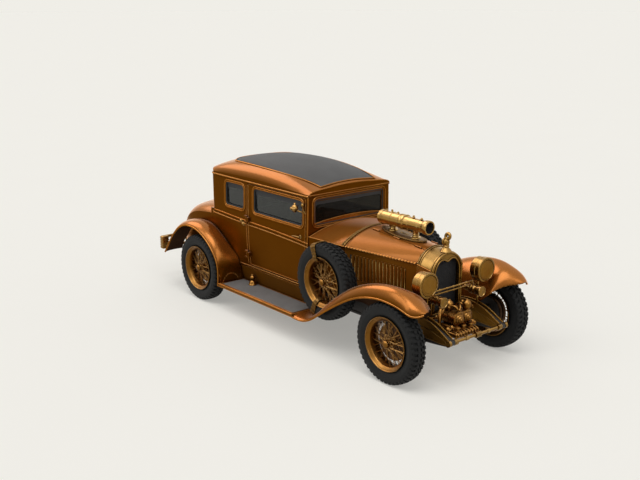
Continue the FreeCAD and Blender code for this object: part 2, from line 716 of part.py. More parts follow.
def make_knuckle():
    """Left knuckle: yoke round the kingpin boss, kingpin, back plate, spindle and steering arm."""
    x = front_axle_x
    y = KINGPIN_HALF_SPACING
    boss_half = KINGPIN_BOSS_HEIGHT / 2
    gap = RUNNING_GAP
    top = axle_z + boss_half + gap
    low = axle_z - boss_half - gap
    wall_in = y + KINGPIN_BOSS_RADIUS + YOKE_STANDOFF
    wall_out = backplate_outer - BACKPLATE_THICKNESS / 2
    pieces = [rod(vec(x, y, low - YOKE_THICKNESS), vec(x, y, top + YOKE_THICKNESS), KINGPIN_RADIUS)]
    for z in (top, low - YOKE_THICKNESS):
        pieces.append(rod(vec(x, y, z), vec(x, y, z + YOKE_THICKNESS), YOKE_RADIUS))
        pieces.append(block(x - YOKE_RADIUS, x + YOKE_RADIUS, y, wall_out, z, z + YOKE_THICKNESS))
    pieces.append(block(x - YOKE_RADIUS, x + YOKE_RADIUS, wall_in, wall_out, low - YOKE_THICKNESS,
                        top + YOKE_THICKNESS))
    pieces.append(rod(vec(x, backplate_outer - BACKPLATE_THICKNESS, axle_z),
                      vec(x, backplate_outer, axle_z), BACKPLATE_RADIUS))
    spindle_end = TRACK_HALF + HUB_HALF_LENGTH - OVERRUN / 5
    pieces.append(rod(vec(x, wall_in, axle_z), vec(x, spindle_end, axle_z), SPINDLE_RADIUS))
    arm_z = low - YOKE_THICKNESS
    pieces.append(block(x - STEERING_ARM_LENGTH, x, y - STEERING_ARM_WIDTH / 2, y + STEERING_ARM_WIDTH / 2,
                        arm_z, arm_z + YOKE_THICKNESS / 2))
    return joined(pieces)


def make_tie_rod():
    """Rod between the two steering arms, seated under them on a ball pin at each end."""
    x = front_axle_x - STEERING_ARM_LENGTH
    y = KINGPIN_HALF_SPACING
    arm_low = axle_z - KINGPIN_BOSS_HEIGHT / 2 - RUNNING_GAP - YOKE_THICKNESS
    top = arm_low - RUNNING_GAP
    centre = top - STEER_BALL_RADIUS
    pieces = [rod(vec(x, -y, centre), vec(x, y, centre), TIE_ROD_RADIUS)]
    for side in (-1, 1):
        pieces.append(rod(vec(x, side * y, centre - STEER_BALL_RADIUS), vec(x, side * y, top),
                          STEER_BALL_RADIUS))
    return joined(pieces)


def make_rear_axle():
    """Axle tube with the differential case, back plates, spindles and the torque tube."""
    plate_in = backplate_outer - BACKPLATE_THICKNESS
    pieces = [rod(vec(0, -plate_in, axle_z), vec(0, plate_in, axle_z), REAR_TUBE_RADIUS)]
    half = DIFFERENTIAL_HALF_WIDTH
    bulge = DIFFERENTIAL_RADIUS
    case = face([spline([vec(0, -half * 1.6, REAR_TUBE_RADIUS), vec(0, -half * 0.7, bulge * 0.8),
                         vec(0, 0, bulge), vec(0, half * 0.7, bulge * 0.8),
                         vec(0, half * 1.6, REAR_TUBE_RADIUS)]),
                 line(vec(0, half * 1.6, REAR_TUBE_RADIUS), vec(0, half * 1.6, 0)),
                 line(vec(0, half * 1.6, 0), vec(0, -half * 1.6, 0)),
                 line(vec(0, -half * 1.6, 0), vec(0, -half * 1.6, REAR_TUBE_RADIUS))])
    pieces.append(moved(case.revolve(vec(0, 0, 0), vec(0, 1, 0), 360), 0, 0, axle_z))
    spindle_end = TRACK_HALF + HUB_HALF_LENGTH - OVERRUN / 5
    for side in (-1, 1):
        pieces.append(rod(vec(0, side * plate_in, axle_z), vec(0, side * backplate_outer, axle_z),
                          BACKPLATE_RADIUS))
        pieces.append(rod(vec(0, side * plate_in, axle_z), vec(0, side * spindle_end, axle_z),
                          SPINDLE_RADIUS))
    tube_front = gearbox_rear - RUNNING_GAP
    tube_z = GEARBOX_BOTTOM + TORQUE_TUBE_RADIUS * 1.3
    pieces.append(rod(vec(0, 0, axle_z), vec(tube_front, 0, tube_z), TORQUE_TUBE_RADIUS))
    tube_cut = block(tube_front, tube_front + OVERRUN, -OVERRUN, OVERRUN, GEARBOX_BOTTOM, GEARBOX_TOP)
    return joined(pieces).cut(tube_cut)


def leaf_pack(x_rear, x_front, x_seat, eye_z_rear, eye_z_front, seat_z):
    """Bowed leaf pack, thick over the axle and thin at its two eyes."""
    top = spline([vec(x_rear, 0, eye_z_rear + LEAF_END_HEIGHT / 2),
                  vec(x_seat, 0, seat_z + LEAF_PACK_HEIGHT),
                  vec(x_front, 0, eye_z_front + LEAF_END_HEIGHT / 2)])
    low = spline([vec(x_front, 0, eye_z_front - LEAF_END_HEIGHT / 2),
                  vec(x_seat, 0, seat_z),
                  vec(x_rear, 0, eye_z_rear - LEAF_END_HEIGHT / 2)])
    edges = [top, line(vec(x_front, 0, eye_z_front + LEAF_END_HEIGHT / 2),
                       vec(x_front, 0, eye_z_front - LEAF_END_HEIGHT / 2)), low,
             line(vec(x_rear, 0, eye_z_rear - LEAF_END_HEIGHT / 2),
                  vec(x_rear, 0, eye_z_rear + LEAF_END_HEIGHT / 2))]
    return face(edges).extrude(vec(0, LEAF_WIDTH, 0))


def make_springs():
    """Front springs under the rail horns and rear springs beside the rails."""
    seat = axle_z + REAR_TUBE_RADIUS + RUNNING_GAP
    eye_z = seat + REAR_SPRING_CAMBER
    half = REAR_SPRING_HALF_LENGTH
    rear = moved(leaf_pack(-half, half, 0, eye_z, eye_z, seat), 0,
                 -REAR_SPRING_HALF_SPACING - LEAF_WIDTH / 2, 0)
    rear_pins = [rod(vec(x, -REAR_SPRING_HALF_SPACING - LEAF_WIDTH / 2, eye_z),
                     vec(x, -rail_outer - RUNNING_GAP, eye_z), LEAF_EYE_RADIUS) for x in (-half, half)]
    rear = joined([rear] + rear_pins)
    front_seat = axle_z - AXLE_BEAM_DROP + AXLE_BEAM_HEIGHT / 2 + RUNNING_GAP
    back_x = front_axle_x - FRONT_SPRING_REAR
    fore_x = front_axle_x + FRONT_SPRING_FRONT
    back_z = RAIL_TOP - RAIL_HEIGHT - LEAF_EYE_RADIUS - RUNNING_GAP
    fore_z = horn_tip_z - HORN_EYE_RADIUS - LEAF_EYE_RADIUS * 0.7
    pack = leaf_pack(back_x, fore_x, front_axle_x, back_z, fore_z, front_seat)
    pack = moved(pack, 0, -RAIL_HALF_SPACING - LEAF_WIDTH / 2, 0)
    eyes = [rod(vec(x, -RAIL_HALF_SPACING - LEAF_WIDTH / 2, z),
                vec(x, -RAIL_HALF_SPACING + LEAF_WIDTH / 2, z), LEAF_EYE_RADIUS)
            for x, z in ((back_x, back_z), (fore_x, fore_z))]
    return pair(rear), pair(joined([pack] + eyes).cut(make_front_axle()))




def make_engine():
    """Plain block with its gearbox and four feet that reach the rails."""
    pieces = [block(engine_rear, engine_front, -ENGINE_HALF_WIDTH, ENGINE_HALF_WIDTH,
                    ENGINE_BOTTOM, ENGINE_TOP),
              block(gearbox_rear, engine_rear, -GEARBOX_HALF_WIDTH, GEARBOX_HALF_WIDTH,
                    GEARBOX_BOTTOM, GEARBOX_TOP)]
    foot_y = rail_inner - RUNNING_GAP
    foot_top = RAIL_TOP - CROSS_MEMBER_DEPTH
    for x in (engine_rear, engine_front - ENGINE_FOOT_WIDTH):
        pieces.append(block(x, x + ENGINE_FOOT_WIDTH, -foot_y, foot_y, foot_top - ENGINE_FOOT_HEIGHT,
                            foot_top))
    return joined(pieces)


def make_exhaust():
    """Pipe along the right side with a silencer hung from a cross member."""
    front = engine_rear + ENGINE_FOOT_WIDTH
    z = EXHAUST_HEIGHT
    y = -EXHAUST_SIDE
    hanger_x = member_x(MEMBER_SHARES[1])
    pipe = rod(vec(-EXHAUST_REAR_END, y, z), vec(front, y, z), EXHAUST_RADIUS)
    rise = rod(vec(front, y, z), vec(front, y, ENGINE_BOTTOM + ENGINE_FOOT_HEIGHT / 2), EXHAUST_RADIUS)
    elbow = ball(vec(front, y, z), EXHAUST_RADIUS)
    half = SILENCER_LENGTH / 2
    silencer = rod(vec(hanger_x - half, y, z), vec(hanger_x + half, y, z), SILENCER_RADIUS)
    hanger = block(hanger_x - EXHAUST_RADIUS, hanger_x + EXHAUST_RADIUS, y - EXHAUST_RADIUS / 2,
                   y + EXHAUST_RADIUS / 2, z, RAIL_TOP - CROSS_MEMBER_DEPTH - RUNNING_GAP)
    return joined([pipe, rise, elbow, silencer, hanger])


def make_tank():
    half = rail_inner - RUNNING_GAP
    tank = rod(vec(-TANK_X, -half, TANK_HEIGHT), vec(-TANK_X, half, TANK_HEIGHT), TANK_RADIUS)
    return tank


# Coachwork

def body_wire(x, inset, z_low, z_high):
    """Cross section of the cabin's sides: leaning in below the belt, upright at the windows."""
    sill = SILL_HALF_WIDTH - inset
    middle = MIDDLE_HALF_WIDTH - inset
    belt = BELT_HALF_WIDTH - inset
    window = WINDOW_HALF_WIDTH - inset
    left = Part.Arc(vec(x, sill, z_low), vec(x, middle, BODY_MIDDLE_Z), vec(x, belt, BELT_Z)).toShape()
    right = Part.Arc(vec(x, -belt, BELT_Z), vec(x, -middle, BODY_MIDDLE_Z), vec(x, -sill, z_low)).toShape()
    return Part.Wire([line(vec(x, -sill, z_low), vec(x, sill, z_low)), left,
                      line(vec(x, belt, BELT_Z), vec(x, window, z_high)),
                      line(vec(x, window, z_high), vec(x, -window, z_high)),
                      line(vec(x, -window, z_high), vec(x, -belt, BELT_Z)), right])


def plan_prism(x_low, x_high, half, radius, z_low, z_high):
    """Upright prism with round rear corners, used to round the body in plan."""
    r = radius
    s = radius * (1 - math.sqrt(2) / 2)
    edges = [line(vec(x_high, -half, z_low), vec(x_high, half, z_low)),
             line(vec(x_high, half, z_low), vec(x_low + r, half, z_low)),
             Part.Arc(vec(x_low + r, half, z_low), vec(x_low + s, half - s, z_low),
                      vec(x_low, half - r, z_low)).toShape(),
             line(vec(x_low, half - r, z_low), vec(x_low, -half + r, z_low)),
             Part.Arc(vec(x_low, -half + r, z_low), vec(x_low + s, -half + s, z_low),
                      vec(x_low + r, -half, z_low)).toShape(),
             line(vec(x_low + r, -half, z_low), vec(x_high, -half, z_low))]
    return face(edges).extrude(vec(0, 0, z_high - z_low))


def body_solid(inset, x_low, x_high, z_low, z_high):
    prism = Part.Face(body_wire(x_low, inset, z_low, z_high)).extrude(vec(x_high - x_low, 0, 0))
    plan = plan_prism(x_low, x_high, BELT_HALF_WIDTH - inset, CABIN_CORNER_RADIUS - inset,
                      z_low - OVERRUN, z_high + OVERRUN)
    return prism.common(plan)


def make_cabin_shell():
    outer = body_solid(0, CABIN_REAR, cabin_front, BODY_BOTTOM, ROOF_BASE_Z)
    wall = CABIN_WALL
    inner = body_solid(wall, CABIN_REAR + wall, cabin_front - wall, BODY_BOTTOM, ROOF_BASE_Z)
    return outer.cut(inner)


def door_box(gap):
    return block(DOOR_REAR + gap, door_front - gap, -BELT_HALF_WIDTH - OVERRUN,
                 -SILL_HALF_WIDTH + CABIN_WALL * 2, DOOR_BOTTOM + gap, DOOR_TOP - gap)


window_front = door_front - DOOR_WINDOW_FRONT_STILE
window_rear = DOOR_REAR + DOOR_WINDOW_REAR_STILE
quarter_front = QUARTER_WINDOW_REAR + QUARTER_WINDOW_LENGTH
pane_y = WINDOW_HALF_WIDTH - CABIN_WALL / 2


def side_window(x_low, x_high, inset, y_low, y_high):
    outline = rounded_rectangle_y(y_low, x_low + inset, x_high - inset, WINDOW_BOTTOM + inset,
                                  WINDOW_TOP - inset, WINDOW_CORNER_RADIUS - inset)
    return outline.extrude(vec(0, y_high - y_low, 0))


def side_pane(x_low, x_high):
    return side_window(x_low, x_high, RUNNING_GAP, -pane_y - GLASS_THICKNESS / 2,
                       -pane_y + GLASS_THICKNESS / 2)


def make_coach():
    shell = make_cabin_shell()
    through_low = -BELT_HALF_WIDTH - OVERRUN
    through_high = -WINDOW_HALF_WIDTH + CABIN_WALL * 2
    door = shell.common(door_box(PANEL_GAP / 2))
    door = door.cut(side_window(window_rear, window_front, 0, through_low, through_high))
    glass = side_pane(window_rear, window_front)
    keep("door_glass_right", glass)
    keep("door_glass_left", mirrored(glass))
    hole = door_box(-PANEL_GAP / 2)
    quarter = side_window(QUARTER_WINDOW_REAR, quarter_front, 0, through_low, through_high)
    rear_window = rounded_rectangle_x(CABIN_REAR - OVERRUN, -REAR_WINDOW_HALF_WIDTH,
                                      REAR_WINDOW_HALF_WIDTH, REAR_WINDOW_BOTTOM,
                                      REAR_WINDOW_BOTTOM + REAR_WINDOW_HEIGHT, WINDOW_CORNER_RADIUS)
    rear_window = rear_window.extrude(vec(OVERRUN * 4, 0, 0))
    windshield = rounded_rectangle_x(cabin_front - CABIN_WALL * 2, -WINDSHIELD_HALF_WIDTH,
                                     WINDSHIELD_HALF_WIDTH, WINDSHIELD_BOTTOM, WINDSHIELD_TOP,
                                     WINDOW_CORNER_RADIUS)
    windshield = windshield.extrude(vec(CABIN_WALL * 4, 0, 0))
    footwell = block(cabin_front - CABIN_WALL * 2, cabin_front + OVERRUN, -FOOTWELL_HALF_WIDTH,
                     FOOTWELL_HALF_WIDTH, BODY_BOTTOM - OVERRUN, FOOTWELL_TOP)
    notch = block(CABIN_REAR - OVERRUN, CABIN_REAR + CABIN_WALL * 2, -rail_outer - PANEL_GAP,
                  rail_outer + PANEL_GAP, BODY_BOTTOM - OVERRUN, FLOOR_Z)
    cabin = shell.cut([hole, mirrored(hole), quarter, mirrored(quarter), rear_window, windshield,
                       footwell, notch])
    for height in DOOR_HINGE_HEIGHTS:
        door, cabin = hang_door(door, cabin, height)
    keep("door_right", door)
    keep("door_left", mirrored(door))
    side = cabin.common(block(CABIN_REAR - OVERRUN, cabin_front + OVERRUN, -BELT_HALF_WIDTH - OVERRUN,
                              0, 0, ROOF_BASE_Z + OVERRUN))
    keep("cabin_body", joined([side, mirrored(side)]))
    make_fixed_glass()


def hang_door(door, cabin, height):
    """One hinge on the right-hand door's rear edge, at a height."""
    y = -BELT_HALF_WIDTH - DOOR_HINGE_STANDOFF
    face_y = -SILL_HALF_WIDTH + CABIN_WALL / 4
    thick = HINGE_RADIUS * 0.8
    half = HINGE_LENGTH / 2
    gap = PANEL_GAP / 2
    door_arm = block(DOOR_REAR + gap, DOOR_REAR + HINGE_ARM, y - thick, face_y,
                     height - half + RUNNING_GAP, height + half - RUNNING_GAP)
    door_arm = door_arm.cut(door_room(height))
    arms = [block(DOOR_REAR - HINGE_ARM, DOOR_REAR - gap, y - thick, face_y, low, low + HINGE_COLLAR)
            for low in (height - half - HINGE_COLLAR, height + half)]
    arms = [arm.cut(door_room(height)) for arm in arms]
    return hung(door, cabin, vec(DOOR_REAR, y, height), vec(0, 0, 1), [door_arm], arms)


def door_room(height):
    """Space inside the body's wall near one hinge, which its arms stay out of."""
    inside = body_solid(CABIN_WALL / 2, CABIN_REAR, cabin_front, BODY_BOTTOM, ROOF_BASE_Z)
    reach = HINGE_LENGTH + HINGE_COLLAR
    return inside.common(block(DOOR_REAR - HINGE_ARM - OVERRUN, DOOR_REAR + HINGE_ARM + OVERRUN,
                               -BELT_HALF_WIDTH - OVERRUN, 0, height - reach, height + reach))


def make_fixed_glass():
    quarter = side_pane(QUARTER_WINDOW_REAR, quarter_front)
    gap = RUNNING_GAP
    rear_x = CABIN_REAR + CABIN_WALL / 2
    rear = rounded_rectangle_x(rear_x, -REAR_WINDOW_HALF_WIDTH + gap, REAR_WINDOW_HALF_WIDTH - gap,
                               REAR_WINDOW_BOTTOM + gap, REAR_WINDOW_BOTTOM + REAR_WINDOW_HEIGHT - gap,
                               WINDOW_CORNER_RADIUS - gap).extrude(vec(GLASS_THICKNESS, 0, 0))
    keep("fixed_glass", Part.makeCompound([quarter, mirrored(quarter), rear]))
    frame_x = cabin_front - CABIN_WALL / 2 - WINDSHIELD_RAIL_DEPTH / 2
    rail = WINDSHIELD_RAIL
    outer = rounded_rectangle_x(frame_x, -WINDSHIELD_HALF_WIDTH + gap, WINDSHIELD_HALF_WIDTH - gap,
                                WINDSHIELD_BOTTOM + gap, WINDSHIELD_TOP - gap,
                                WINDOW_CORNER_RADIUS - gap).extrude(vec(WINDSHIELD_RAIL_DEPTH, 0, 0))
    opening = rounded_rectangle_x(frame_x - OVERRUN, -WINDSHIELD_HALF_WIDTH + rail,
                                  WINDSHIELD_HALF_WIDTH - rail, WINDSHIELD_BOTTOM + rail,
                                  WINDSHIELD_TOP - rail, WINDOW_CORNER_RADIUS - rail)
    keep("windshield_frame", outer.cut(opening.extrude(vec(OVERRUN * 3, 0, 0))))
    pane_x = cabin_front - CABIN_WALL / 2 - GLASS_THICKNESS / 2
    pane = rounded_rectangle_x(pane_x, -WINDSHIELD_HALF_WIDTH + rail + gap,
                               WINDSHIELD_HALF_WIDTH - rail - gap, WINDSHIELD_BOTTOM + rail + gap,
                               WINDSHIELD_TOP - rail - gap, WINDOW_CORNER_RADIUS - rail - gap)
    keep("windshield_glass", pane.extrude(vec(GLASS_THICKNESS, 0, 0)))


def roof_wire(x, crown_share, shoulder_share, half_share, inset, lift, low):
    """Roof cross section: low edge, round shoulder and a shallow crown."""
    base = ROOF_BASE_Z
    half = WINDOW_HALF_WIDTH + ROOF_DRIP * 2 - inset
    crown = base + ROOF_CROWN * crown_share - inset + lift
    shoulder_z = base + (ROOF_CROWN - ROOF_SHOULDER_DROP) * shoulder_share - inset + lift
    shoulder = ROOF_SHOULDER_HALF * half_share - inset * 0.5
    edge = base + ROOF_EDGE - inset * 0.4 + lift
    side = [vec(x, half, edge), vec(x, half - (half - shoulder) * 0.22, edge + (shoulder_z - edge) * 0.55),
            vec(x, shoulder, shoulder_z), vec(x, shoulder * 0.5, (shoulder_z + crown * 3) / 4),
            vec(x, 0, crown)]
    other = [vec(x, -p.y, p.z) for p in side[:-1]]
    arch = spline(side + other[::-1])
    return Part.Wire([line(vec(x, -half, low), vec(x, half, low)), line(vec(x, half, low), side[0]),
                      arch, line(other[0], vec(x, -half, low))])


def roof_loft(inset, lift, low):
    length = CABIN_LENGTH + ROOF_VISOR + ROOF_DRIP * 2
    stations = ((0.0, 0.40, 0.42, 0.93), (0.05, 0.60, 0.64, 0.95), (0.16, 0.81, 0.86, 1.0),
                (0.34, 0.95, 0.98, 1.0), (0.53, 1.0, 1.0, 1.0), (0.82, 0.80, 0.74, 0.96),
                (1.0, 0.36, 0.36, 0.90))
    start = CABIN_REAR - ROOF_DRIP * 2 + inset
    run = length - inset * 2
    wires = [roof_wire(start + run * along, crown, shoulder, half, inset, lift, low)
             for along, crown, shoulder, half in stations]
    return Part.makeLoft(wires, True, False)


def make_roof():
    """Hollow roof with a drip edge, and the fabric insert laid on top of it."""
    drip = ROOF_DRIP
    base = ROOF_BASE_Z
    plan = plan_prism(CABIN_REAR - drip, cabin_front + OVERRUN * 2, WINDOW_HALF_WIDTH + drip,
                      CABIN_CORNER_RADIUS + drip, base - OVERRUN, base + ROOF_CROWN + OVERRUN)
    inner_plan = plan_prism(CABIN_REAR + ROOF_WALL, cabin_front - ROOF_WALL,
                            WINDOW_HALF_WIDTH - ROOF_WALL, CABIN_CORNER_RADIUS - ROOF_WALL,
                            base - OVERRUN * 2, base + ROOF_CROWN + OVERRUN)
    outer = roof_loft(0, 0, base)
    inner = roof_loft(ROOF_WALL, 0, base - OVERRUN).common(inner_plan)
    roof = outer.common(plan).cut(inner)
    keep("roof", roof)
    front_x = cabin_front - ROOF_INSERT_FRONT_MARGIN
    rear = ROOF_INSERT_REAR
    wide = ROOF_INSERT_HALF_REAR
    narrow = ROOF_INSERT_HALF_FRONT
    round_x = rear + (front_x - rear) * 0.12
    middle_x = (front_x + round_x) / 2
    middle = ROOF_INSERT_HALF_MIDDLE
    z = ROOF_BASE_Z
    left = Part.Arc(vec(front_x, narrow, z), vec(middle_x, middle, z), vec(round_x, wide, z)).toShape()
    right = Part.Arc(vec(round_x, -wide, z), vec(middle_x, -middle, z),
                     vec(front_x, -narrow, z)).toShape()
    outline = face([line(vec(front_x, -narrow, z), vec(front_x, narrow, z)), left,
                    Part.Arc(vec(round_x, wide, z), vec(rear, 0, z), vec(round_x, -wide, z)).toShape(),
                    right])
    column = outline.extrude(vec(0, 0, ROOF_CROWN * 2))
    skin = roof_loft(0, ROOF_INSERT_THICKNESS, base).cut(outer)
    keep("roof_insert", skin.common(column))


def arch_wire(x, half, bead_z, crown_z, low_z, inset):
    """Hood cross section: flat sides below the bead and a round top above it."""
    half = half - inset
    crown = crown_z - inset
    left = Part.Arc(vec(x, half, bead_z), vec(x, 0, crown), vec(x, -half, bead_z)).toShape()
    return Part.Wire([line(vec(x, -half, low_z), vec(x, half, low_z)),
                      line(vec(x, half, low_z), vec(x, half, bead_z)), left,
                      line(vec(x, -half, bead_z), vec(x, -half, low_z))])


def cowl_block():
    """The cowl's outside shape, filled."""
    return Part.makeLoft([arch_wire(cabin_front + RUNNING_GAP, COWL_REAR_HALF, COWL_REAR_BEAD_Z,
                                    COWL_REAR_CROWN_Z, COWL_BOTTOM, 0),
                          arch_wire(hood_rear, HOOD_REAR_HALF, HOOD_REAR_BEAD_Z, HOOD_REAR_CROWN_Z,
                                    COWL_BOTTOM, 0)], True, True)


def make_cowl():
    rear = cabin_front + RUNNING_GAP
    low = COWL_BOTTOM - OVERRUN
    inner = Part.makeLoft([arch_wire(rear - RUNNING_GAP * 2, COWL_REAR_HALF, COWL_REAR_BEAD_Z,
                                     COWL_REAR_CROWN_Z, low, COWL_WALL),
                           arch_wire(hood_rear - COWL_WALL, HOOD_REAR_HALF, HOOD_REAR_BEAD_Z,
                                     HOOD_REAR_CROWN_Z, low, COWL_WALL)], True, True)
    tunnel = block(cabin_front, hood_rear + OVERRUN, -GEARBOX_HALF_WIDTH - PANEL_GAP,
                   GEARBOX_HALF_WIDTH + PANEL_GAP, COWL_BOTTOM - OVERRUN, GEARBOX_TOP + PANEL_GAP)
    return cowl_block().cut([inner, tunnel])


def hood_arch(x, half, bead_z, crown_z, inset):
    half = half - inset
    crown = crown_z - inset
    arc = Part.Arc(vec(x, half, bead_z), vec(x, 0, crown), vec(x, -half, bead_z)).toShape()
    return Part.Wire([line(vec(x, -half, bead_z), vec(x, half, bead_z)), arc])


def make_hood():
    """Round hood top in three pieces: a fixed centre strip and a lifting half on each side."""
    rear = hood_rear + PANEL_GAP / 2
    front = hood_front - PANEL_GAP / 2
    outer = Part.makeLoft([hood_arch(rear, HOOD_REAR_HALF, HOOD_REAR_BEAD_Z, HOOD_REAR_CROWN_Z, 0),
                           hood_arch(front, HOOD_FRONT_HALF, HOOD_FRONT_BEAD_Z, HOOD_FRONT_CROWN_Z, 0)],
                          True, True)
    drop = HOOD_WALL
    inner = Part.makeLoft([hood_arch(rear - drop, HOOD_REAR_HALF, HOOD_REAR_BEAD_Z - drop * 0.1,
                                     HOOD_REAR_CROWN_Z, drop),
                           hood_arch(front + drop, HOOD_FRONT_HALF, HOOD_FRONT_BEAD_Z - drop * 0.1,
                                     HOOD_FRONT_CROWN_Z, drop)], True, True)
    shell = outer.cut(inner)
    strip = block(rear - RUNNING_GAP, front + RUNNING_GAP, -HOOD_STRIP_HALF, HOOD_STRIP_HALF,
                  HOOD_FRONT_BEAD_Z, HOOD_REAR_CROWN_Z + OVERRUN)
    centre = joined([shell.common(strip)] + hood_strip_ends(rear, front))
    lift = block(rear + PANEL_GAP / 2, front - PANEL_GAP / 2, -HOOD_REAR_HALF - OVERRUN,
                 -HOOD_STRIP_HALF - PANEL_GAP, 0, HOOD_REAR_CROWN_Z + OVERRUN)
    half = shell.common(lift)
    for share in HOOD_HINGE_SHARES:
        half, centre = hung(half, centre, hood_hinge_point(share, -1), hood_hinge_line(-1))
    keep("hood_top_right", half)
    half = mirrored(shell.common(lift))
    for share in HOOD_HINGE_SHARES:
        half, centre = hung(half, centre, hood_hinge_point(share, 1), hood_hinge_line(1))
    keep("hood_top_left", half)
    keep("hood_centre", centre)
    keep("hood_sides", pair(make_hood_side(rear, front)))


def hood_surface_z(half, bead_z, crown_z, y):
    """Height of the round hood at a distance across the car."""
    rise = crown_z - bead_z
    radius = (half * half + rise * rise) / (rise * 2)
    return crown_z - radius + math.sqrt(radius * radius - y * y)


def hood_hinge_point(share, side):
    """A point on the hinge line between the centre strip and one half."""
    y = HOOD_STRIP_HALF + PANEL_GAP / 2
    rear_z = hood_surface_z(HOOD_REAR_HALF, HOOD_REAR_BEAD_Z, HOOD_REAR_CROWN_Z, y)
    front_z = hood_surface_z(HOOD_FRONT_HALF, HOOD_FRONT_BEAD_Z, HOOD_FRONT_CROWN_Z, y)
    x = hood_rear + (hood_front - hood_rear) * share
    return vec(x, y * side, rear_z + (front_z - rear_z) * share + HOOD_HINGE_RISE)


def hood_hinge_line(side):
    return hood_hinge_point(1, side).sub(hood_hinge_point(0, side))


def hood_strip_ends(rear, front):
    """Tabs that seat the centre strip on the cowl and on the radiator shell."""
    width = HOOD_STRIP_HALF * 0.8
    reach = PANEL_GAP / 2 - RUNNING_GAP
    tabs = []
    for x, out, crown in ((rear, -reach, HOOD_REAR_CROWN_Z), (front, reach, HOOD_FRONT_CROWN_Z)):
        low = crown - HOOD_WALL * 2.4
        tabs.append(block(min(x + out, x - out * 3), max(x + out, x - out * 3), -width, width, low,
                          low + HOOD_WALL))
    return tabs


def make_hood_side(rear, front):
    """Flat side panel under the bead, with a row of upright louvres."""
    wall = HOOD_WALL

    def section(x, half, top, low):
        return Part.makePolygon([vec(x, -half, low), vec(x, -half, top), vec(x, -half + wall, top),
                                 vec(x, -half + wall, low), vec(x, -half, low)])
    rear_x = rear - PANEL_GAP / 2 + RUNNING_GAP
    front_x = front + PANEL_GAP / 2 - RUNNING_GAP
    gap = PANEL_GAP
    panel = Part.makeLoft([section(rear_x, HOOD_REAR_HALF, HOOD_REAR_BEAD_Z - gap, HOOD_SIDE_REAR_BOTTOM),
                           section(front_x, HOOD_FRONT_HALF, HOOD_FRONT_BEAD_Z - gap,
                                   HOOD_SIDE_FRONT_BOTTOM)], True, True)
    louvres = []
    first = rear + LOUVRE_REAR_MARGIN
    last = front - LOUVRE_FRONT_MARGIN
    pitch = (last - first) / (LOUVRE_COUNT - 1)
    for index in range(LOUVRE_COUNT):
        x = first + pitch * index
        share = (x - rear) / (front - rear)
        surface = -(HOOD_REAR_HALF + (HOOD_FRONT_HALF - HOOD_REAR_HALF) * share)
        top = HOOD_REAR_BEAD_Z + (HOOD_FRONT_BEAD_Z - HOOD_REAR_BEAD_Z) * share - LOUVRE_TOP_MARGIN
        width = pitch * 0.62
        wedge = polygon_face([vec(x, surface + wall * 0.5, 0), vec(x + width, surface + wall * 0.9, 0),
                              vec(x, surface - LOUVRE_DEPTH, 0)])
        wedge = wedge.extrude(vec(0, 0, LOUVRE_HEIGHT))
        louvres.append(moved(wedge, 0, 0, top - LOUVRE_HEIGHT))
    return joined([panel] + louvres)


def make_radiator():
    """Shell with a curved outline and a cusped opening, the core inside it and the cap on top."""
    back = hood_front
    seat = back + RUNNING_GAP
    outer = Part.makeLoft([arch_wire(seat, HOOD_FRONT_HALF, HOOD_FRONT_BEAD_Z, HOOD_FRONT_CROWN_Z,
                                     RADIATOR_BOTTOM, 0),
                           arch_wire(radiator_face, RADIATOR_FRONT_HALF, RADIATOR_FRONT_BEAD_Z,
                                     RADIATOR_FRONT_CROWN_Z, RADIATOR_BOTTOM, 0)], True, True)
    opening = radiator_opening(seat - OVERRUN, RADIATOR_DEPTH + OVERRUN * 2, 0)
    shell = outer.cut(opening)
    cap_x = radiator_face - CAP_SETBACK
    share = (cap_x - back) / RADIATOR_DEPTH
    top = HOOD_FRONT_CROWN_Z + (RADIATOR_FRONT_CROWN_Z - HOOD_FRONT_CROWN_Z) * share
    neck = revolve_up(cap_x, 0, [(0, top - CAP_RADIUS), (CAP_RADIUS, top - CAP_RADIUS),
                                 (CAP_RADIUS, top + CAP_HEIGHT * 0.35),
                                 (CAP_RADIUS * 0.6, top + CAP_HEIGHT * 0.5),
                                 (CAP_RADIUS * 0.3, top + CAP_HEIGHT), (0, top + CAP_HEIGHT)])
    ring_z = top + CAP_HEIGHT + CAP_RING_RADIUS
    ring = Part.makeTorus(CAP_RING_RADIUS, CAP_RING_TUBE, vec(cap_x, 0, ring_z), vec(1, 0, 0))
    keep("radiator_shell", joined([shell, neck.cut(opening), ring]))
    core_x = radiator_face - RADIATOR_CORE_SETBACK - RADIATOR_CORE_DEPTH
    keep("radiator_core", radiator_opening(core_x, RADIATOR_CORE_DEPTH, RUNNING_GAP))


def radiator_opening(x, depth, inset):
    half = RADIATOR_FRONT_HALF - RADIATOR_BORDER - inset
    low = RADIATOR_BOTTOM + RADIATOR_BORDER + inset
    side_top = RADIATOR_FRONT_BEAD_Z - RADIATOR_BORDER - inset
    crown = RADIATOR_FRONT_CROWN_Z - RADIATOR_BORDER * 1.6 - inset
    lobe = half * 0.5
    cusp = crown - RADIATOR_CUSP
    left = Part.Arc(vec(x, half, side_top), vec(x, lobe * 1.25, crown - RADIATOR_CUSP * 0.3),
                    vec(x, 0, cusp)).toShape()
    right = Part.Arc(vec(x, 0, cusp), vec(x, -lobe * 1.25, crown - RADIATOR_CUSP * 0.3),
                     vec(x, -half, side_top)).toShape()
    edges = [line(vec(x, -half, low), vec(x, half, low)), line(vec(x, half, low), vec(x, half, side_top)),
             left, right, line(vec(x, -half, side_top), vec(x, -half, low))]
    return face(edges).extrude(vec(depth, 0, 0))


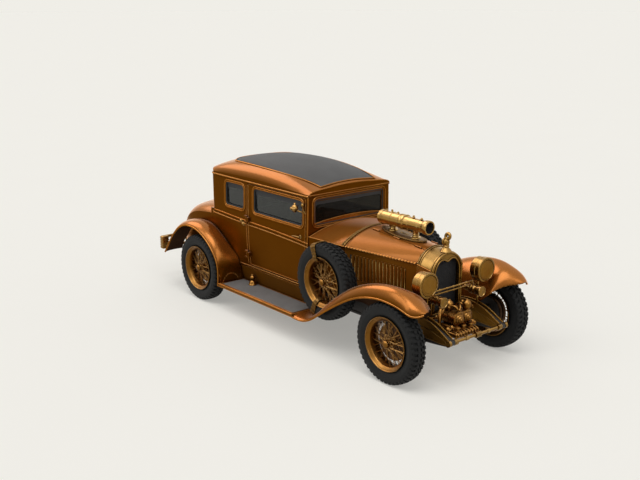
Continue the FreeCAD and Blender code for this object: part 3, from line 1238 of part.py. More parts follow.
def revolve_up(x, y, profile):
    """Solid of revolution about an upright axis from radius and height pairs."""
    points = [vec(radius, 0, z) for radius, z in profile]
    solid = polygon_face(points).revolve(vec(0, 0, 0), vec(0, 0, 1), 360)
    return moved(solid, x, y, 0)


def revolve_along(y, z, profile):
    """Solid of revolution about an axis along the car from place and radius pairs."""
    points = [vec(x, 0, radius) for x, radius in profile]
    solid = polygon_face(points).revolve(vec(0, 0, 0), vec(1, 0, 0), 360)
    return moved(solid, 0, y, z)


def make_scope():
    """Brass tube on two posts over an oval plate, open at the front."""
    rear = hood_rear + SCOPE_REAR_X
    front = rear + SCOPE_LENGTH
    ring = SCOPE_RING_WIDTH
    proud = SCOPE_RADIUS * 1.06
    middle = rear + SCOPE_LENGTH * 0.52
    body = revolve_along(0, SCOPE_Z, [
        (rear, 0), (rear, SCOPE_RADIUS * 0.6), (rear + ring * 0.4, SCOPE_RADIUS * 0.92),
        (rear + ring * 0.6, SCOPE_RADIUS), (middle - ring, SCOPE_RADIUS), (middle - ring, proud),
        (middle + ring * 0.4, proud), (middle + ring * 0.4, SCOPE_FRONT_RADIUS * 0.9),
        (front - ring, SCOPE_FRONT_RADIUS * 0.9), (front - ring, SCOPE_FRONT_RADIUS),
        (front, SCOPE_FRONT_RADIUS), (front, SCOPE_BORE_RADIUS),
        (front - SCOPE_BORE_DEPTH, SCOPE_BORE_RADIUS * 0.8), (front - SCOPE_BORE_DEPTH, 0)])
    plate_mid = rear + SCOPE_LENGTH * 0.5
    half_length = SCOPE_PLATE_LENGTH / 2
    oval = Part.Ellipse(vec(plate_mid, 0, 0), half_length, SCOPE_PLATE_HALF).toShape()
    column = Part.Face(Part.Wire([oval])).extrude(vec(0, 0, HOOD_REAR_CROWN_Z * 2))
    gap = RUNNING_GAP
    strip_rear = hood_rear + PANEL_GAP / 2
    strip_front = hood_front - PANEL_GAP / 2

    def skin(lift):
        return Part.makeLoft([hood_arch(strip_rear, HOOD_REAR_HALF, HOOD_REAR_BEAD_Z,
                                        HOOD_REAR_CROWN_Z + lift, 0),
                              hood_arch(strip_front, HOOD_FRONT_HALF, HOOD_FRONT_BEAD_Z,
                                        HOOD_FRONT_CROWN_Z + lift, 0)], True, True)
    plate = skin(SCOPE_PLATE_THICKNESS).cut(skin(gap)).common(column)
    posts = []
    for share in (0.27, 0.73):
        x = rear + SCOPE_LENGTH * share
        posts.append(rod(vec(x, 0, HOOD_FRONT_CROWN_Z - OVERRUN), vec(x, 0, SCOPE_Z), SCOPE_POST_RADIUS))
    posts = [post.cut(skin(gap)) for post in posts]
    return joined([body, plate] + posts)


# Front lamps, horns and blower

def make_headlamp():
    """Right-hand lamp: shallow drum, flat face standing proud and a domed back."""
    face_x = front_axle_x + LAMP_FACE_LEAD
    front = face_x - LAMP_FACE_PROUD
    back = front - LAMP_DEPTH
    return revolve_along(-LAMP_HALF_SPACING, LAMP_Z, [
        (back - LAMP_DOME, 0), (back - LAMP_DOME, LAMP_DRUM_RADIUS * 0.35),
        (back - LAMP_DOME * 0.6, LAMP_DRUM_RADIUS * 0.75), (back, LAMP_DRUM_RADIUS * 0.97),
        (back, LAMP_DRUM_RADIUS), (front, LAMP_DRUM_RADIUS), (front, LAMP_FACE_RADIUS),
        (face_x, LAMP_FACE_RADIUS), (face_x, 0)])


def rail_surface_z(x):
    """Height of the rail's top at a place along the front horn, by straight steps."""
    horn_start = horn_tip_x - RAIL_HORN_LENGTH
    steps = ((0.0, 0.0), (0.18, 0.35), (0.34, 0.85), (0.5, 1.0), (0.66, 0.62))
    share = (x - horn_start) / RAIL_HORN_LENGTH
    for (low, low_up), (high, high_up) in zip(steps, steps[1:]):
        if low <= share <= high:
            up = low_up + (high_up - low_up) * (share - low) / (high - low)
            return RAIL_TOP + RAIL_HORN_RISE * up
    return RAIL_TOP


def make_lamp_bar():
    """Double bar between the lamps, its two posts to the rails, and the two horns."""
    x = front_axle_x + LAMP_FACE_LEAD - LAMP_FACE_PROUD - LAMP_DEPTH / 2
    high = LAMP_Z - BAR_DROP
    low = high - BAR_SPACING
    end = LAMP_HALF_SPACING
    pieces = [rod(vec(x, -end, high), vec(x, end, high), BAR_RADIUS),
              rod(vec(x, -RAIL_HALF_SPACING, low), vec(x, RAIL_HALF_SPACING, low), BAR_RADIUS)]
    rail_z = rail_surface_z(x)
    for side in (-1, 1):
        y = side * RAIL_HALF_SPACING
        pieces.append(rod(vec(x, y, rail_z - RAIL_TIP_HEIGHT), vec(x, y, high), BAR_POST_RADIUS))
        mouth = front_axle_x + HORN_LEAD
        throat = mouth - HORN_LENGTH
        pieces.append(revolve_along(side * HORN_HALF_SPACING, HORN_Z, [
            (throat, 0), (throat, HORN_THROAT_RADIUS * 1.6),
            (throat + HORN_LENGTH * 0.14, HORN_THROAT_RADIUS * 1.6),
            (throat + HORN_LENGTH * 0.2, HORN_THROAT_RADIUS),
            (throat + HORN_LENGTH * 0.6, HORN_THROAT_RADIUS * 1.5),
            (mouth - HORN_LENGTH * 0.1, HORN_MOUTH_RADIUS * 0.8), (mouth, HORN_MOUTH_RADIUS),
            (mouth - HORN_LENGTH * 0.18, 0)]))
        pieces.append(rod(vec(x, side * HORN_HALF_SPACING, HORN_Z),
                          vec(x, side * HORN_HALF_SPACING, high), BAR_RADIUS))
    drums = [rod(vec(x - LAMP_DEPTH, side * LAMP_HALF_SPACING, LAMP_Z),
                 vec(x + LAMP_DEPTH, side * LAMP_HALF_SPACING, LAMP_Z), LAMP_DRUM_RADIUS + RUNNING_GAP)
             for side in (-1, 1)]
    return joined(pieces).cut(pair(make_rails()).Solids + drums)


def make_blower():
    """Twin-lobed case between the rails with two pots and their elbows on top."""
    back = radiator_face + BLOWER_LEAD
    front = back + BLOWER_LENGTH
    pieces = []
    for side in (-1, 1):
        y = side * BLOWER_HALF_SPACING
        pieces.append(rod(vec(back, y, BLOWER_Z), vec(front, y, BLOWER_Z), BLOWER_RADIUS))
        pieces.append(rod(vec(front, y, BLOWER_Z), vec(front + BLOWER_LEAD / 2, y, BLOWER_Z),
                          BLOWER_RADIUS * 0.6))
    pieces.append(block(back, front, -BLOWER_HALF_SPACING, BLOWER_HALF_SPACING,
                        BLOWER_Z - BLOWER_RADIUS, BLOWER_Z + BLOWER_RADIUS))
    for index in (0, 1):
        x = back + BLOWER_LENGTH * 0.3 + POT_SPACING * index * 0.7
        y = -POT_SPACING / 2 + POT_SPACING * index
        z = BLOWER_Z + POT_RISE
        pieces.append(rod(vec(x, y, BLOWER_Z), vec(x, y, z), POT_RADIUS * 0.5))
        pieces.append(ball(vec(x, y, z), POT_RADIUS))
    side = rail_inner - RUNNING_GAP
    pieces.append(rod(vec(back, -side, BLOWER_Z), vec(back, side, BLOWER_Z),
                      HORN_THROAT_RADIUS))
    drive = rod(vec(radiator_face + RUNNING_GAP, 0, BLOWER_Z + BLOWER_RADIUS / 2),
                vec(back, 0, BLOWER_Z + BLOWER_RADIUS / 2), POT_RADIUS * 0.6)
    return joined(pieces + [drive])


# Fenders and running boards

def fender_sections(stations, thickness):
    """Closed thin sections from lip, crown and inner edge points."""
    arch_shares = ((0.0, 0.0), (0.03, 0.30), (0.14, 0.72), (FENDER_CROWN_SHARE, 1.0), (0.74, 0.72),
                   (1.0, 0.0))
    wires = []
    for lip, crown, inner in stations:
        chord = inner.sub(lip)
        rise = crown.sub(lip.add(FreeCAD.Vector(chord).multiply(arch_shares[3][0])))
        skin_drop = FreeCAD.Vector(rise).normalize().multiply(thickness)
        upper = [lip.add(FreeCAD.Vector(chord).multiply(u)).add(FreeCAD.Vector(rise).multiply(h))
                 for u, h in arch_shares]
        side_in = FreeCAD.Vector(chord).normalize().multiply(thickness)
        lower = [p.sub(skin_drop) for p in upper]
        lower[0] = upper[0].sub(skin_drop).add(side_in)
        lower[1] = lower[1].add(side_in)
        lower[2] = lower[2].add(FreeCAD.Vector(side_in).multiply(0.5))
        wires.append(Part.Wire([spline(upper), line(upper[-1], lower[-1]), spline(lower[::-1]),
                                line(lower[0], upper[0])]))
    return wires


def make_front_fender():
    """Right front fender, swept from the running board up over the wheel to its nose."""
    nose_x = front_axle_x + FRONT_FENDER_NOSE
    run = nose_x - BOARD_FRONT
    lip_shares = ((0.0, 0.0), (0.08, 0.003), (0.16, 0.088), (0.25, 0.28), (0.40, 0.595), (0.556, 0.855),
                  (0.70, 0.965), (0.80, 0.97), (0.90, 0.92), (0.955, 0.865), (0.985, 0.865),
                  (0.998, 0.89))
    lip_in_shares = (0.0, 0.0, 0.0, 0.0, 0.0, 0.0, 0.0, 0.0, 0.0, 0.014, 0.07, 0.115)
    crown_shares = (0.28, 0.32, 0.42, 0.55, 0.66, 0.60, 0.66, 0.76, 0.84, 0.68, 0.40, 0.17)
    lean_shares = (0.0, 0.0, 0.25, 0.5, 0.52, 0.4, 0.2, 0.0, -0.05, -0.1, -0.2, -0.4)
    inner_z_shares = (0.0, 0.03, 0.16, 0.36, 0.40, 0.42, 0.47, 0.51, 0.79, 0.895, 0.91, 0.92)
    inner_y_shares = (1.0, 0.85, 0.4, 0.08, 0.0, 0.0, 0.0, 0.0, 0.0, 0.0, 0.0, 0.0)
    inner_out_shares = (0.0, 0.0, 0.0, 0.0, 0.0, 0.0, 0.0, 0.0, 0.085, 0.24, 0.31, 0.345)
    stations = []
    for (along, up), lip_in, crown, lean, inner_z, inner_y, inner_out in zip(
            lip_shares, lip_in_shares, crown_shares, lean_shares, inner_z_shares, inner_y_shares,
            inner_out_shares):
        x = BOARD_FRONT + run * along
        z = FRONT_FENDER_LIP_LOW + FRONT_FENDER_LIP_RISE * up
        rise = FRONT_FENDER_CROWN * crown
        y_out = FENDER_OUTER * (1 - lip_in)
        y_in = fender_inner + (BOARD_INNER - fender_inner) * inner_y + FENDER_OUTER * inner_out
        y_top = y_out + (y_in - y_out) * FENDER_CROWN_SHARE
        lip = vec(x, -y_out, z)
        top = vec(x - rise * lean, -y_top, z + rise)
        inner = vec(x, -y_in, FRONT_FENDER_LIP_LOW + FRONT_FENDER_LIP_RISE * inner_z)
        stations.append((lip, top, inner))
    fender = Part.makeLoft(fender_sections(stations, FENDER_THICKNESS), True, False)
    spare_y = SPARE_OUTER - TYRE_WIDTH / 2
    half = TYRE_WIDTH / 2 + WELL_CLEARANCE
    well = rod(vec(SPARE_X, -spare_y - half, SPARE_Z), vec(SPARE_X, -spare_y + half, SPARE_Z),
               TYRE_RADIUS + WELL_CLEARANCE)
    rail_space = block(BOARD_FRONT, front_reach, -rail_outer - RUNNING_GAP, 0, 0, BELT_Z)
    turned = Part.Face(tyre_section(LOCKED_TYRE_CLEARANCE)).revolve(vec(0, 0, 0), vec(0, 1, 0), 360)
    turned = moved(turned, front_axle_x, -TRACK_HALF, axle_z)
    turned.rotate(vec(front_axle_x, -KINGPIN_HALF_SPACING, axle_z), vec(0, 0, 1), STEERING_LOCK)
    return fender.cut([well, rail_space, turned])


def make_rear_fender():
    """Right rear fender, laid out by angle round the rear axle."""
    rows = ((-15.0, 1.0, 1.155, 0.45), (12.0, 1.0, 1.135, 0.5), (32.0, 0.98, 1.06, 0.75),
            (58.0, 0.96, 0.95, 1.0), (84.0, 1.02, 1.05, 1.0), (104.0, 1.105, 1.16, 1.0),
            (124.0, 1.22, 1.30, 1.0), (144.0, 1.315, 1.40, 1.0), (162.0, 1.435, 1.52, 0.9),
            (177.0, 1.64, 1.70, 0.6))
    stations = []
    for angle, lip_share, inner_share, crown_share in rows:
        turn = math.radians(angle)
        lip_r = REAR_FENDER_RADIUS * lip_share
        crown_r = lip_r + REAR_FENDER_CROWN * crown_share
        inner_r = REAR_FENDER_RADIUS * inner_share
        across = math.cos(turn)
        upward = math.sin(turn)
        stations.append((vec(lip_r * across, -FENDER_OUTER, axle_z + lip_r * upward),
                         vec(crown_r * across, -REAR_FENDER_CROWN_Y, axle_z + crown_r * upward),
                         vec(inner_r * across, -REAR_FENDER_INNER, axle_z + inner_r * upward)))
    fender = Part.makeLoft(fender_sections(stations, FENDER_THICKNESS), True, False)
    body = body_solid(0, CABIN_REAR, cabin_front, BODY_BOTTOM, ROOF_BASE_Z)
    return fender.cut([body, deck_loft(0, DECK_BOTTOM, 0)])


def make_running_board():
    """Right board with its sloping valance up to the body and two brackets to the rail."""
    top = BOARD_TOP
    low = top - BOARD_THICKNESS
    sill = SILL_HALF_WIDTH - CABIN_WALL / 2
    wall = VALANCE_THICKNESS
    points = [vec(0, -FENDER_OUTER, low), vec(0, -FENDER_OUTER, top), vec(0, -BOARD_INNER - wall, top),
              vec(0, -sill - wall, BODY_BOTTOM - RUNNING_GAP), vec(0, -sill, BODY_BOTTOM - RUNNING_GAP),
              vec(0, -BOARD_INNER, top), vec(0, -BOARD_INNER, low)]
    run = BOARD_FRONT - BOARD_REAR - RUNNING_GAP
    board = moved(polygon_face(points).extrude(vec(run, 0, 0)), BOARD_REAR, 0, 0)
    brackets = []
    for share in (0.25, 0.75):
        x = BOARD_REAR + run * share
        brackets.append(block(x, x + RAIL_WIDTH, -BOARD_INNER - wall, -rail_outer - RUNNING_GAP,
                              RAIL_TOP - RAIL_HEIGHT, RAIL_TOP - RAIL_HEIGHT + BOARD_THICKNESS / 2))
        brackets.append(block(x, x + RAIL_WIDTH, -BOARD_INNER - wall, -BOARD_INNER + wall,
                              low, RAIL_TOP - RAIL_HEIGHT + BOARD_THICKNESS / 2))
    return joined([board] + brackets)


def make_mat():
    margin = BOARD_MAT_MARGIN
    return block(BOARD_REAR + margin * 2, BOARD_FRONT - margin, -FENDER_OUTER + margin,
                 -BOARD_INNER - margin, BOARD_TOP, BOARD_TOP + BOARD_MAT_THICKNESS)


# Rear deck

def deck_wire(x, half, side_z, crown_z, inset, low):
    half = half - inset
    crown = crown_z - inset
    side = side_z - inset * 0.5
    points = [vec(x, half, side), vec(x, half * 0.9, side + (crown - side) * 0.45),
              vec(x, half * 0.6, side + (crown - side) * 0.83), vec(x, 0, crown)]
    other = [vec(x, -p.y, p.z) for p in points[:-1]]
    arch = spline(points + other[::-1])
    return Part.Wire([line(vec(x, -half, low), vec(x, half, low)), line(vec(x, half, low), points[0]),
                      arch, line(other[0], vec(x, -half, low))])


def deck_loft(inset, low, shorten):
    rows = ((0.0, 1.0, 0.825, 1.0), (0.22, 0.995, 0.80, 0.98), (0.44, 0.98, 0.755, 0.94),
            (0.64, 0.95, 0.665, 0.866), (0.80, 0.90, 0.526, 0.732), (0.92, 0.83, 0.34, 0.515),
            (1.0, 0.75, 0.12, 0.265))
    height = DECK_FRONT_CROWN_Z - DECK_BOTTOM
    wires = []
    for along, half, side, crown in rows:
        x = CABIN_REAR - RUNNING_GAP - (DECK_LENGTH - shorten) * along
        wires.append(deck_wire(x, MIDDLE_HALF_WIDTH * half, DECK_BOTTOM + height * side,
                               DECK_BOTTOM + height * crown, inset, low))
    return Part.makeLoft(wires, True, False)


def make_deck():
    outer = deck_loft(0, DECK_BOTTOM, 0)
    inner = deck_loft(DECK_WALL, DECK_BOTTOM - OVERRUN, DECK_WALL)
    shell = outer.cut(inner)

    def lid_box(gap):
        front = CABIN_REAR - LID_FRONT - gap
        return block(front - LID_LENGTH + gap * 2, front, -LID_HALF_WIDTH + gap, LID_HALF_WIDTH - gap,
                     DECK_BOTTOM + OVERRUN * 5, DECK_FRONT_CROWN_Z + OVERRUN)
    lid = shell.common(lid_box(PANEL_GAP / 2))
    deck = shell.cut(lid_box(-PANEL_GAP / 2))
    for side in (-LID_HINGE_SIDE, LID_HINGE_SIDE):
        centre = vec(CABIN_REAR - LID_FRONT, side, LID_HINGE_Z)
        lid, deck = hung(lid, deck, centre, vec(0, 1, 0))
    keep("deck_lid", lid)
    keep("rear_deck", deck)


# Cabin fittings

def make_floor():
    """Cabin floor with its toe board, and the separate floor of the rear deck."""
    gap = RUNNING_GAP
    inset = CABIN_WALL + gap
    front = cabin_front - inset
    room = body_solid(inset, CABIN_REAR + inset, front, BODY_BOTTOM, ROOF_BASE_Z)
    main = room.common(block(CABIN_REAR, cabin_front, -BELT_HALF_WIDTH, BELT_HALF_WIDTH, FLOOR_Z, floor_top))
    toe = block(front - CABIN_WALL, hood_rear - COWL_WALL - gap, -FOOTWELL_HALF_WIDTH + gap,
                FOOTWELL_HALF_WIDTH - gap, FLOOR_Z, floor_top)
    deck_half = MIDDLE_HALF_WIDTH * DECK_FLOOR_SHARE
    deck = block(CABIN_REAR - DECK_LENGTH * DECK_FLOOR_LENGTH_SHARE, CABIN_REAR - gap, -deck_half,
                 deck_half, FLOOR_Z, floor_top)
    return Part.makeCompound([joined([main, toe]), deck])


def make_seat():
    """Bench with its sprung base, cushion and back as one soft solid."""
    front = SEAT_REAR + SEAT_BACK_THICKNESS + SEAT_CUSHION_LENGTH
    back_low = SEAT_REAR + SEAT_BACK_LEAN
    points = [vec(back_low, 0, floor_top), vec(front, 0, floor_top), vec(front, 0, SEAT_CUSHION_TOP),
              vec(back_low + SEAT_BACK_THICKNESS, 0, SEAT_CUSHION_TOP),
              vec(SEAT_REAR + SEAT_BACK_THICKNESS, 0, SEAT_BACK_TOP), vec(SEAT_REAR, 0, SEAT_BACK_TOP)]
    bench = polygon_face(points).extrude(vec(0, SEAT_HALF_WIDTH * 2, 0))
    return moved(bench, 0, -SEAT_HALF_WIDTH, 0)


def make_dashboard():
    back = cabin_front - CABIN_WALL - RUNNING_GAP
    half = WINDOW_HALF_WIDTH - CABIN_WALL - PANEL_GAP
    return block(back - DASH_DEPTH, back, -half, half, DASH_BOTTOM, DASH_BOTTOM + DASH_HEIGHT)


wheel_centre = vec(cabin_front - STEERING_WHEEL_SETBACK, COLUMN_SIDE, STEERING_WHEEL_Z)
column_axis = vec(-math.cos(math.radians(COLUMN_ANGLE)), 0, math.sin(math.radians(COLUMN_ANGLE)))


def along_column(distance):
    """Point on the column's axis, measured down from the steering wheel's centre."""
    return wheel_centre.sub(FreeCAD.Vector(column_axis).multiply(distance))


def make_column():
    top = along_column(STEERING_HUB_DEPTH / 2 + RUNNING_GAP)
    far = along_column(COWL_LENGTH + STEERING_WHEEL_SETBACK + OVERRUN * 4)
    column = rod(top, far, COLUMN_RADIUS)
    keep_in = block(CABIN_REAR, hood_rear - COWL_WALL - RUNNING_GAP, 0, BELT_HALF_WIDTH, floor_top,
                    ROOF_BASE_Z)
    return column.common(keep_in)


def make_steering_wheel():
    rim = Part.makeTorus(STEERING_WHEEL_RADIUS, STEERING_RIM_RADIUS, vec(0, 0, 0), vec(0, 0, 1))
    half = STEERING_HUB_DEPTH / 2
    hub = rod(vec(0, 0, -half), vec(0, 0, half), STEERING_HUB_RADIUS)
    pieces = [rim, hub]
    for index in range(4):
        turn = math.radians(45 + index * 90)
        reach = STEERING_WHEEL_RADIUS
        pieces.append(rod(vec(0, 0, 0), vec(reach * math.cos(turn), reach * math.sin(turn), 0),
                          STEERING_SPOKE_RADIUS))
    wheel = joined(pieces)
    wheel.Placement = FreeCAD.Placement(wheel_centre, FreeCAD.Rotation(vec(0, 0, 1), column_axis))
    return wheel


def side_surface_y(z):
    """Half width of the body's side at a height above the belt."""
    share = (ROOF_BASE_Z - z) / (ROOF_BASE_Z - BELT_Z)
    return WINDOW_HALF_WIDTH + (BELT_HALF_WIDTH - WINDOW_HALF_WIDTH) * share


def make_side_lamp():
    """Right-hand ball lamp on an arm from the door's front stile."""
    x = door_front - SIDE_LAMP_SETBACK
    y = -WINDOW_HALF_WIDTH - SIDE_LAMP_STANDOFF
    foot_x = door_front - DOOR_WINDOW_FRONT_STILE / 2
    foot_z = SIDE_LAMP_Z - SIDE_LAMP_RADIUS
    foot_y = -side_surface_y(foot_z - SIDE_LAMP_ARM_RADIUS * 2) - RUNNING_GAP / 2
    foot = vec(foot_x, foot_y, foot_z)
    pad = rod(foot, foot.add(vec(0, -SIDE_LAMP_ARM_RADIUS * 1.5, 0)), SIDE_LAMP_ARM_RADIUS * 2)
    return joined([ball(vec(x, y, SIDE_LAMP_Z), SIDE_LAMP_RADIUS), pad,
                   rod(foot.add(vec(0, -SIDE_LAMP_ARM_RADIUS, 0)), vec(x, y, SIDE_LAMP_Z),
                       SIDE_LAMP_ARM_RADIUS)])


def make_bumper():
    """Two bars joined by uprights, on brackets from the rails' rear ends."""
    x = -REAR_OVERHANG + BUMPER_BAR_RADIUS
    half = BUMPER_HALF_WIDTH
    pieces = []
    for z in (BUMPER_LOW_Z, BUMPER_HIGH_Z):
        pieces.append(rod(vec(x, -half, z), vec(x, half, z), BUMPER_BAR_RADIUS))
    for side in (-1, 1):
        for y in (side * half, side * RAIL_HALF_SPACING):
            pieces.append(rod(vec(x, y, BUMPER_LOW_Z), vec(x, y, BUMPER_HIGH_Z), BUMPER_POST_RADIUS))
            pieces.append(ball(vec(x, y, BUMPER_LOW_Z), BUMPER_BAR_RADIUS))
            pieces.append(ball(vec(x, y, BUMPER_HIGH_Z), BUMPER_BAR_RADIUS))
        bracket_z = DECK_BOTTOM - BUMPER_POST_RADIUS - RUNNING_GAP
        pieces.append(rod(vec(x, side * RAIL_HALF_SPACING, bracket_z),
                          vec(-RAIL_REAR_END - RUNNING_GAP, side * RAIL_HALF_SPACING, bracket_z),
                          BUMPER_POST_RADIUS))
    return joined(pieces)


def build():
    make_wheels()
    rail = make_rails()
    keep("frame_rails", pair(rail))
    keep("cross_members", make_cross_members())
    keep("front_tube", make_front_tube())
    keep("front_axle", make_front_axle())
    knuckle = make_knuckle()
    keep("knuckle_left", knuckle)
    keep("knuckle_right", mirrored(knuckle))
    keep("tie_rod", make_tie_rod())
    keep("rear_axle", make_rear_axle())
    rear_springs, front_springs = make_springs()
    keep("rear_springs", rear_springs)
    keep("front_springs", front_springs)
    keep("engine_block", make_engine())
    keep("exhaust", make_exhaust())
    keep("fuel_tank", make_tank())
    make_coach()
    make_roof()
    keep("cowl", make_cowl())
    make_hood()
    make_radiator()
    keep("hood_scope", make_scope())
    keep("headlamps", pair(make_headlamp()))
    keep("lamp_bar", make_lamp_bar())
    keep("blower", make_blower())
    keep("front_fenders", pair(make_front_fender()))
    keep("rear_fenders", pair(make_rear_fender()))
    keep("running_boards", pair(make_running_board()))
    keep("step_mats", pair(make_mat()))
    make_deck()
    keep("floor", make_floor())
    keep("seat", make_seat())
    keep("dashboard", make_dashboard())
    keep("steering_column", make_column())
    keep("steering_wheel", make_steering_wheel())
    lamp = make_side_lamp()
    keep("side_lamp_right", lamp)
    keep("side_lamp_left", mirrored(lamp))
    keep("rear_bumper", make_bumper())


def write():
    os.makedirs("parts", exist_ok=True)
    for name, shape in parts.items():
        placed = moved(shape, -origin_x, 0, 0)
        placed.exportStep("parts/" + name + ".step")
        print(name, len(placed.Solids), "solids", round(placed.Volume / 1e6, 3), "litres",
              "valid" if placed.isValid() else "NOT VALID")


build()
write()
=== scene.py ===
import math

import bmesh
import bpy
import numpy as np
from mathutils import Matrix, Vector


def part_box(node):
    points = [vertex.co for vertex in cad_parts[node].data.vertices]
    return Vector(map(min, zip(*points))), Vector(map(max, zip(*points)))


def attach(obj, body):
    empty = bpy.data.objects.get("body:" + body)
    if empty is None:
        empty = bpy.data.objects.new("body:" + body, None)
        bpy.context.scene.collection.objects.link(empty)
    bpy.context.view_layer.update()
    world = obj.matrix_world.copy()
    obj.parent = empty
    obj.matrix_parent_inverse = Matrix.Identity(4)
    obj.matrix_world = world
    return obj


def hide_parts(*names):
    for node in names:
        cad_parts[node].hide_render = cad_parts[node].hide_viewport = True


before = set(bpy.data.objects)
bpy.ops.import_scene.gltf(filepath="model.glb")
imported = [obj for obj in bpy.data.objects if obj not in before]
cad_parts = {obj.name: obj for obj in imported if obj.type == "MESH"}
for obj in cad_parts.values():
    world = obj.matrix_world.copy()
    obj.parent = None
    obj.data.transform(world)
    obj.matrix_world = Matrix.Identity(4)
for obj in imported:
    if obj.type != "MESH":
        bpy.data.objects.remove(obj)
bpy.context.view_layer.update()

# A vintage coupe in copper paint with brass fittings. Shapes are laid out in metres from the
# rear axle's line on the ground: X forward, Y to the car's left, Z up. A finished shape is moved
# forward or back with that axle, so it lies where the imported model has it. Turned profiles alone
# are in millimetres.

MM = 0.001
AHEAD, LEFT, UP = (1, 0, 0), (0, 1, 0), (0, 0, 1)
BACK, RIGHT = (-1, 0, 0), (0, -1, 0)


def middle(name):
    low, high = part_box(name)
    return (low + high) / 2


REAR_AXLE = middle("tyre_rear_right").x
WHEELBASE = middle("tyre_front_right").x - REAR_AXLE
TRACK_HALF = abs(middle("tyre_rear_right").y)
AXLE_Z = middle("tyre_rear_right").z
TYRE_RADIUS = AXLE_Z
TYRE_HALF = 0.090
SPARE_X = middle("spare_tyres").x - REAR_AXLE
SPARE_Y = 0.692
SPARE_Z = middle("spare_tyres").z

# Body
CABIN_REAR = -0.038
CABIN_FRONT = 1.900
CORNER_RADIUS = 0.095
CORNER_X = CABIN_REAR + CORNER_RADIUS
BODY_BOTTOM = 0.545
BELT_Z = 1.070
ROOF_BASE = 1.600
WINDOW_HALF = 0.600
BELT_HALF = 0.610
MIDDLE_HALF = 0.600
SILL_HALF = 0.575
MIDDLE_Z = 0.800
DOOR_REAR = 0.755
DOOR_FRONT = 1.862
DOOR_BOTTOM = 0.578
DOOR_TOP = 1.578
GAP = 0.006

# Cowl, hood and radiator
HOOD_REAR = 2.370
HOOD_FRONT = 3.200
COWL_BEAD_X = 1.912
HOOD_REAR_HALF = 0.480
HOOD_FRONT_HALF = 0.240
RADIATOR_FACE = 3.397
FENDER_OUTER = 0.870

# Beads and ropes of the trim
ROPE_RADIUS = 0.0085
ROPE_PITCH = 0.030
FINE_PITCH = 0.026
BROAD_PITCH = 0.034
ROPE_STRANDS = 3


# Shapes: each maker gives points and faces, which one piece joins.

def spaced(points, count):
    """Places along a smooth curve through the given points."""
    knots = np.array(points, float)
    spans = np.sqrt(np.linalg.norm(np.diff(knots, axis=0), axis=1))
    at = np.concatenate(([0.0], np.cumsum(spans)))
    size = len(knots)
    system = np.eye(size)
    right = np.zeros_like(knots)
    for i in range(1, size - 1):
        before, after = at[i] - at[i - 1], at[i + 1] - at[i]
        system[i, i - 1:i + 2] = before, 2 * (before + after), after
        right[i] = 6 * ((knots[i + 1] - knots[i]) / after - (knots[i] - knots[i - 1]) / before)
    bend = np.linalg.solve(system, right)
    samples = np.linspace(0, at[-1], count)
    index = np.clip(np.searchsorted(at, samples, side="right") - 1, 0, size - 2)
    width = at[index + 1] - at[index]
    u = ((samples - at[index]) / width)[:, None]
    v = 1 - u
    pull = ((v ** 3 - v) * bend[index] + (u ** 3 - u) * bend[index + 1]) * (width ** 2 / 6)[:, None]
    return v * knots[index] + u * knots[index + 1] + pull


def evenly(points, step):
    """Places at even distances along a broken line."""
    line = np.array(points, float)
    lengths = np.linalg.norm(np.diff(line, axis=0), axis=1)
    at = np.concatenate(([0.0], np.cumsum(lengths)))
    samples = np.linspace(0, at[-1], max(2, int(at[-1] / step) + 1))
    return np.stack([np.interp(samples, at, line[:, k]) for k in range(3)], 1)


def circle(count, radius, lag=0.0):
    """Places at even turns round a circle."""
    turns = [math.tau * (index + lag) / count for index in range(count)]
    return [(radius * math.cos(turn), radius * math.sin(turn)) for turn in turns]


def grid(rows, ring=False, loop=False, caps=False):
    """Skin over rows of points; ring closes each row, loop joins the last row to the first."""
    high, wide = len(rows), len(rows[0])
    faces = []
    for i in range(high if loop else high - 1):
        for j in range(wide if ring else wide - 1):
            here, beyond, beside = i * wide, (i + 1) % high * wide, (j + 1) % wide
            faces.append((here + j, here + beside, beyond + beside, beyond + j))
    if caps:
        faces += [tuple(range(wide))[::-1], tuple(range((high - 1) * wide, high * wide))]
    return [tuple(p) for row in rows for p in row], faces


def lathe(profile, centre, axis, steps):
    """Turned shape: the profile gives millimetres along the axis and of radius."""
    axis, centre = Vector(axis).normalized(), Vector(centre)
    side = axis.orthogonal().normalized()
    if abs(axis.y) > 0.9:
        side = Vector(AHEAD)
    elif abs(axis.x) > 0.9:
        side = Vector(LEFT)
    other = axis.cross(side)
    rows = []
    for distance, radius in profile:
        start = centre + axis * (distance * MM)
        rows.append([start + (side * a + other * b) * MM for a, b in circle(steps, radius)])
    return grid(rows, ring=True)


def ribs(places, low, high, foot, crest):
    """Rows of a turned profile that climb to a raised band at each place and fall behind it."""
    rows = []
    for place in places:
        rows += [(place - foot, low), (place - crest, high), (place + crest, high), (place + foot, low)]
    return rows


def frames(path, closed):
    """A side and an upward direction at each point of a path, turned as little as can be."""
    path = [Vector(p) for p in path]
    count = len(path)
    ways = []
    for i in range(count):
        before = path[i - 1] if i or closed else path[i]
        after = path[(i + 1) % count] if i < count - 1 or closed else path[i]
        ways.append((after - before).normalized())
    side = ways[0].cross(Vector(UP))
    if side.length < 0.2:
        side = ways[0].cross(Vector(LEFT))
    side.normalize()
    result = []
    for way in ways:
        side = (side - way * side.dot(way)).normalized()
        result.append((side, way.cross(side)))
    return path, result


def tube(path, radius, sides=10, closed=False, flat=1.0):
    """Round or flattened bar along a path; radius may change from point to point."""
    path, turns = frames(path, closed)
    radii = radius if hasattr(radius, "__len__") else [radius] * len(path)
    rows = [[point + side * a + up * (b * flat) for a, b in circle(sides, r)]
            for point, (side, up), r in zip(path, turns, radii)]
    return grid(rows, ring=True, loop=closed, caps=not closed)


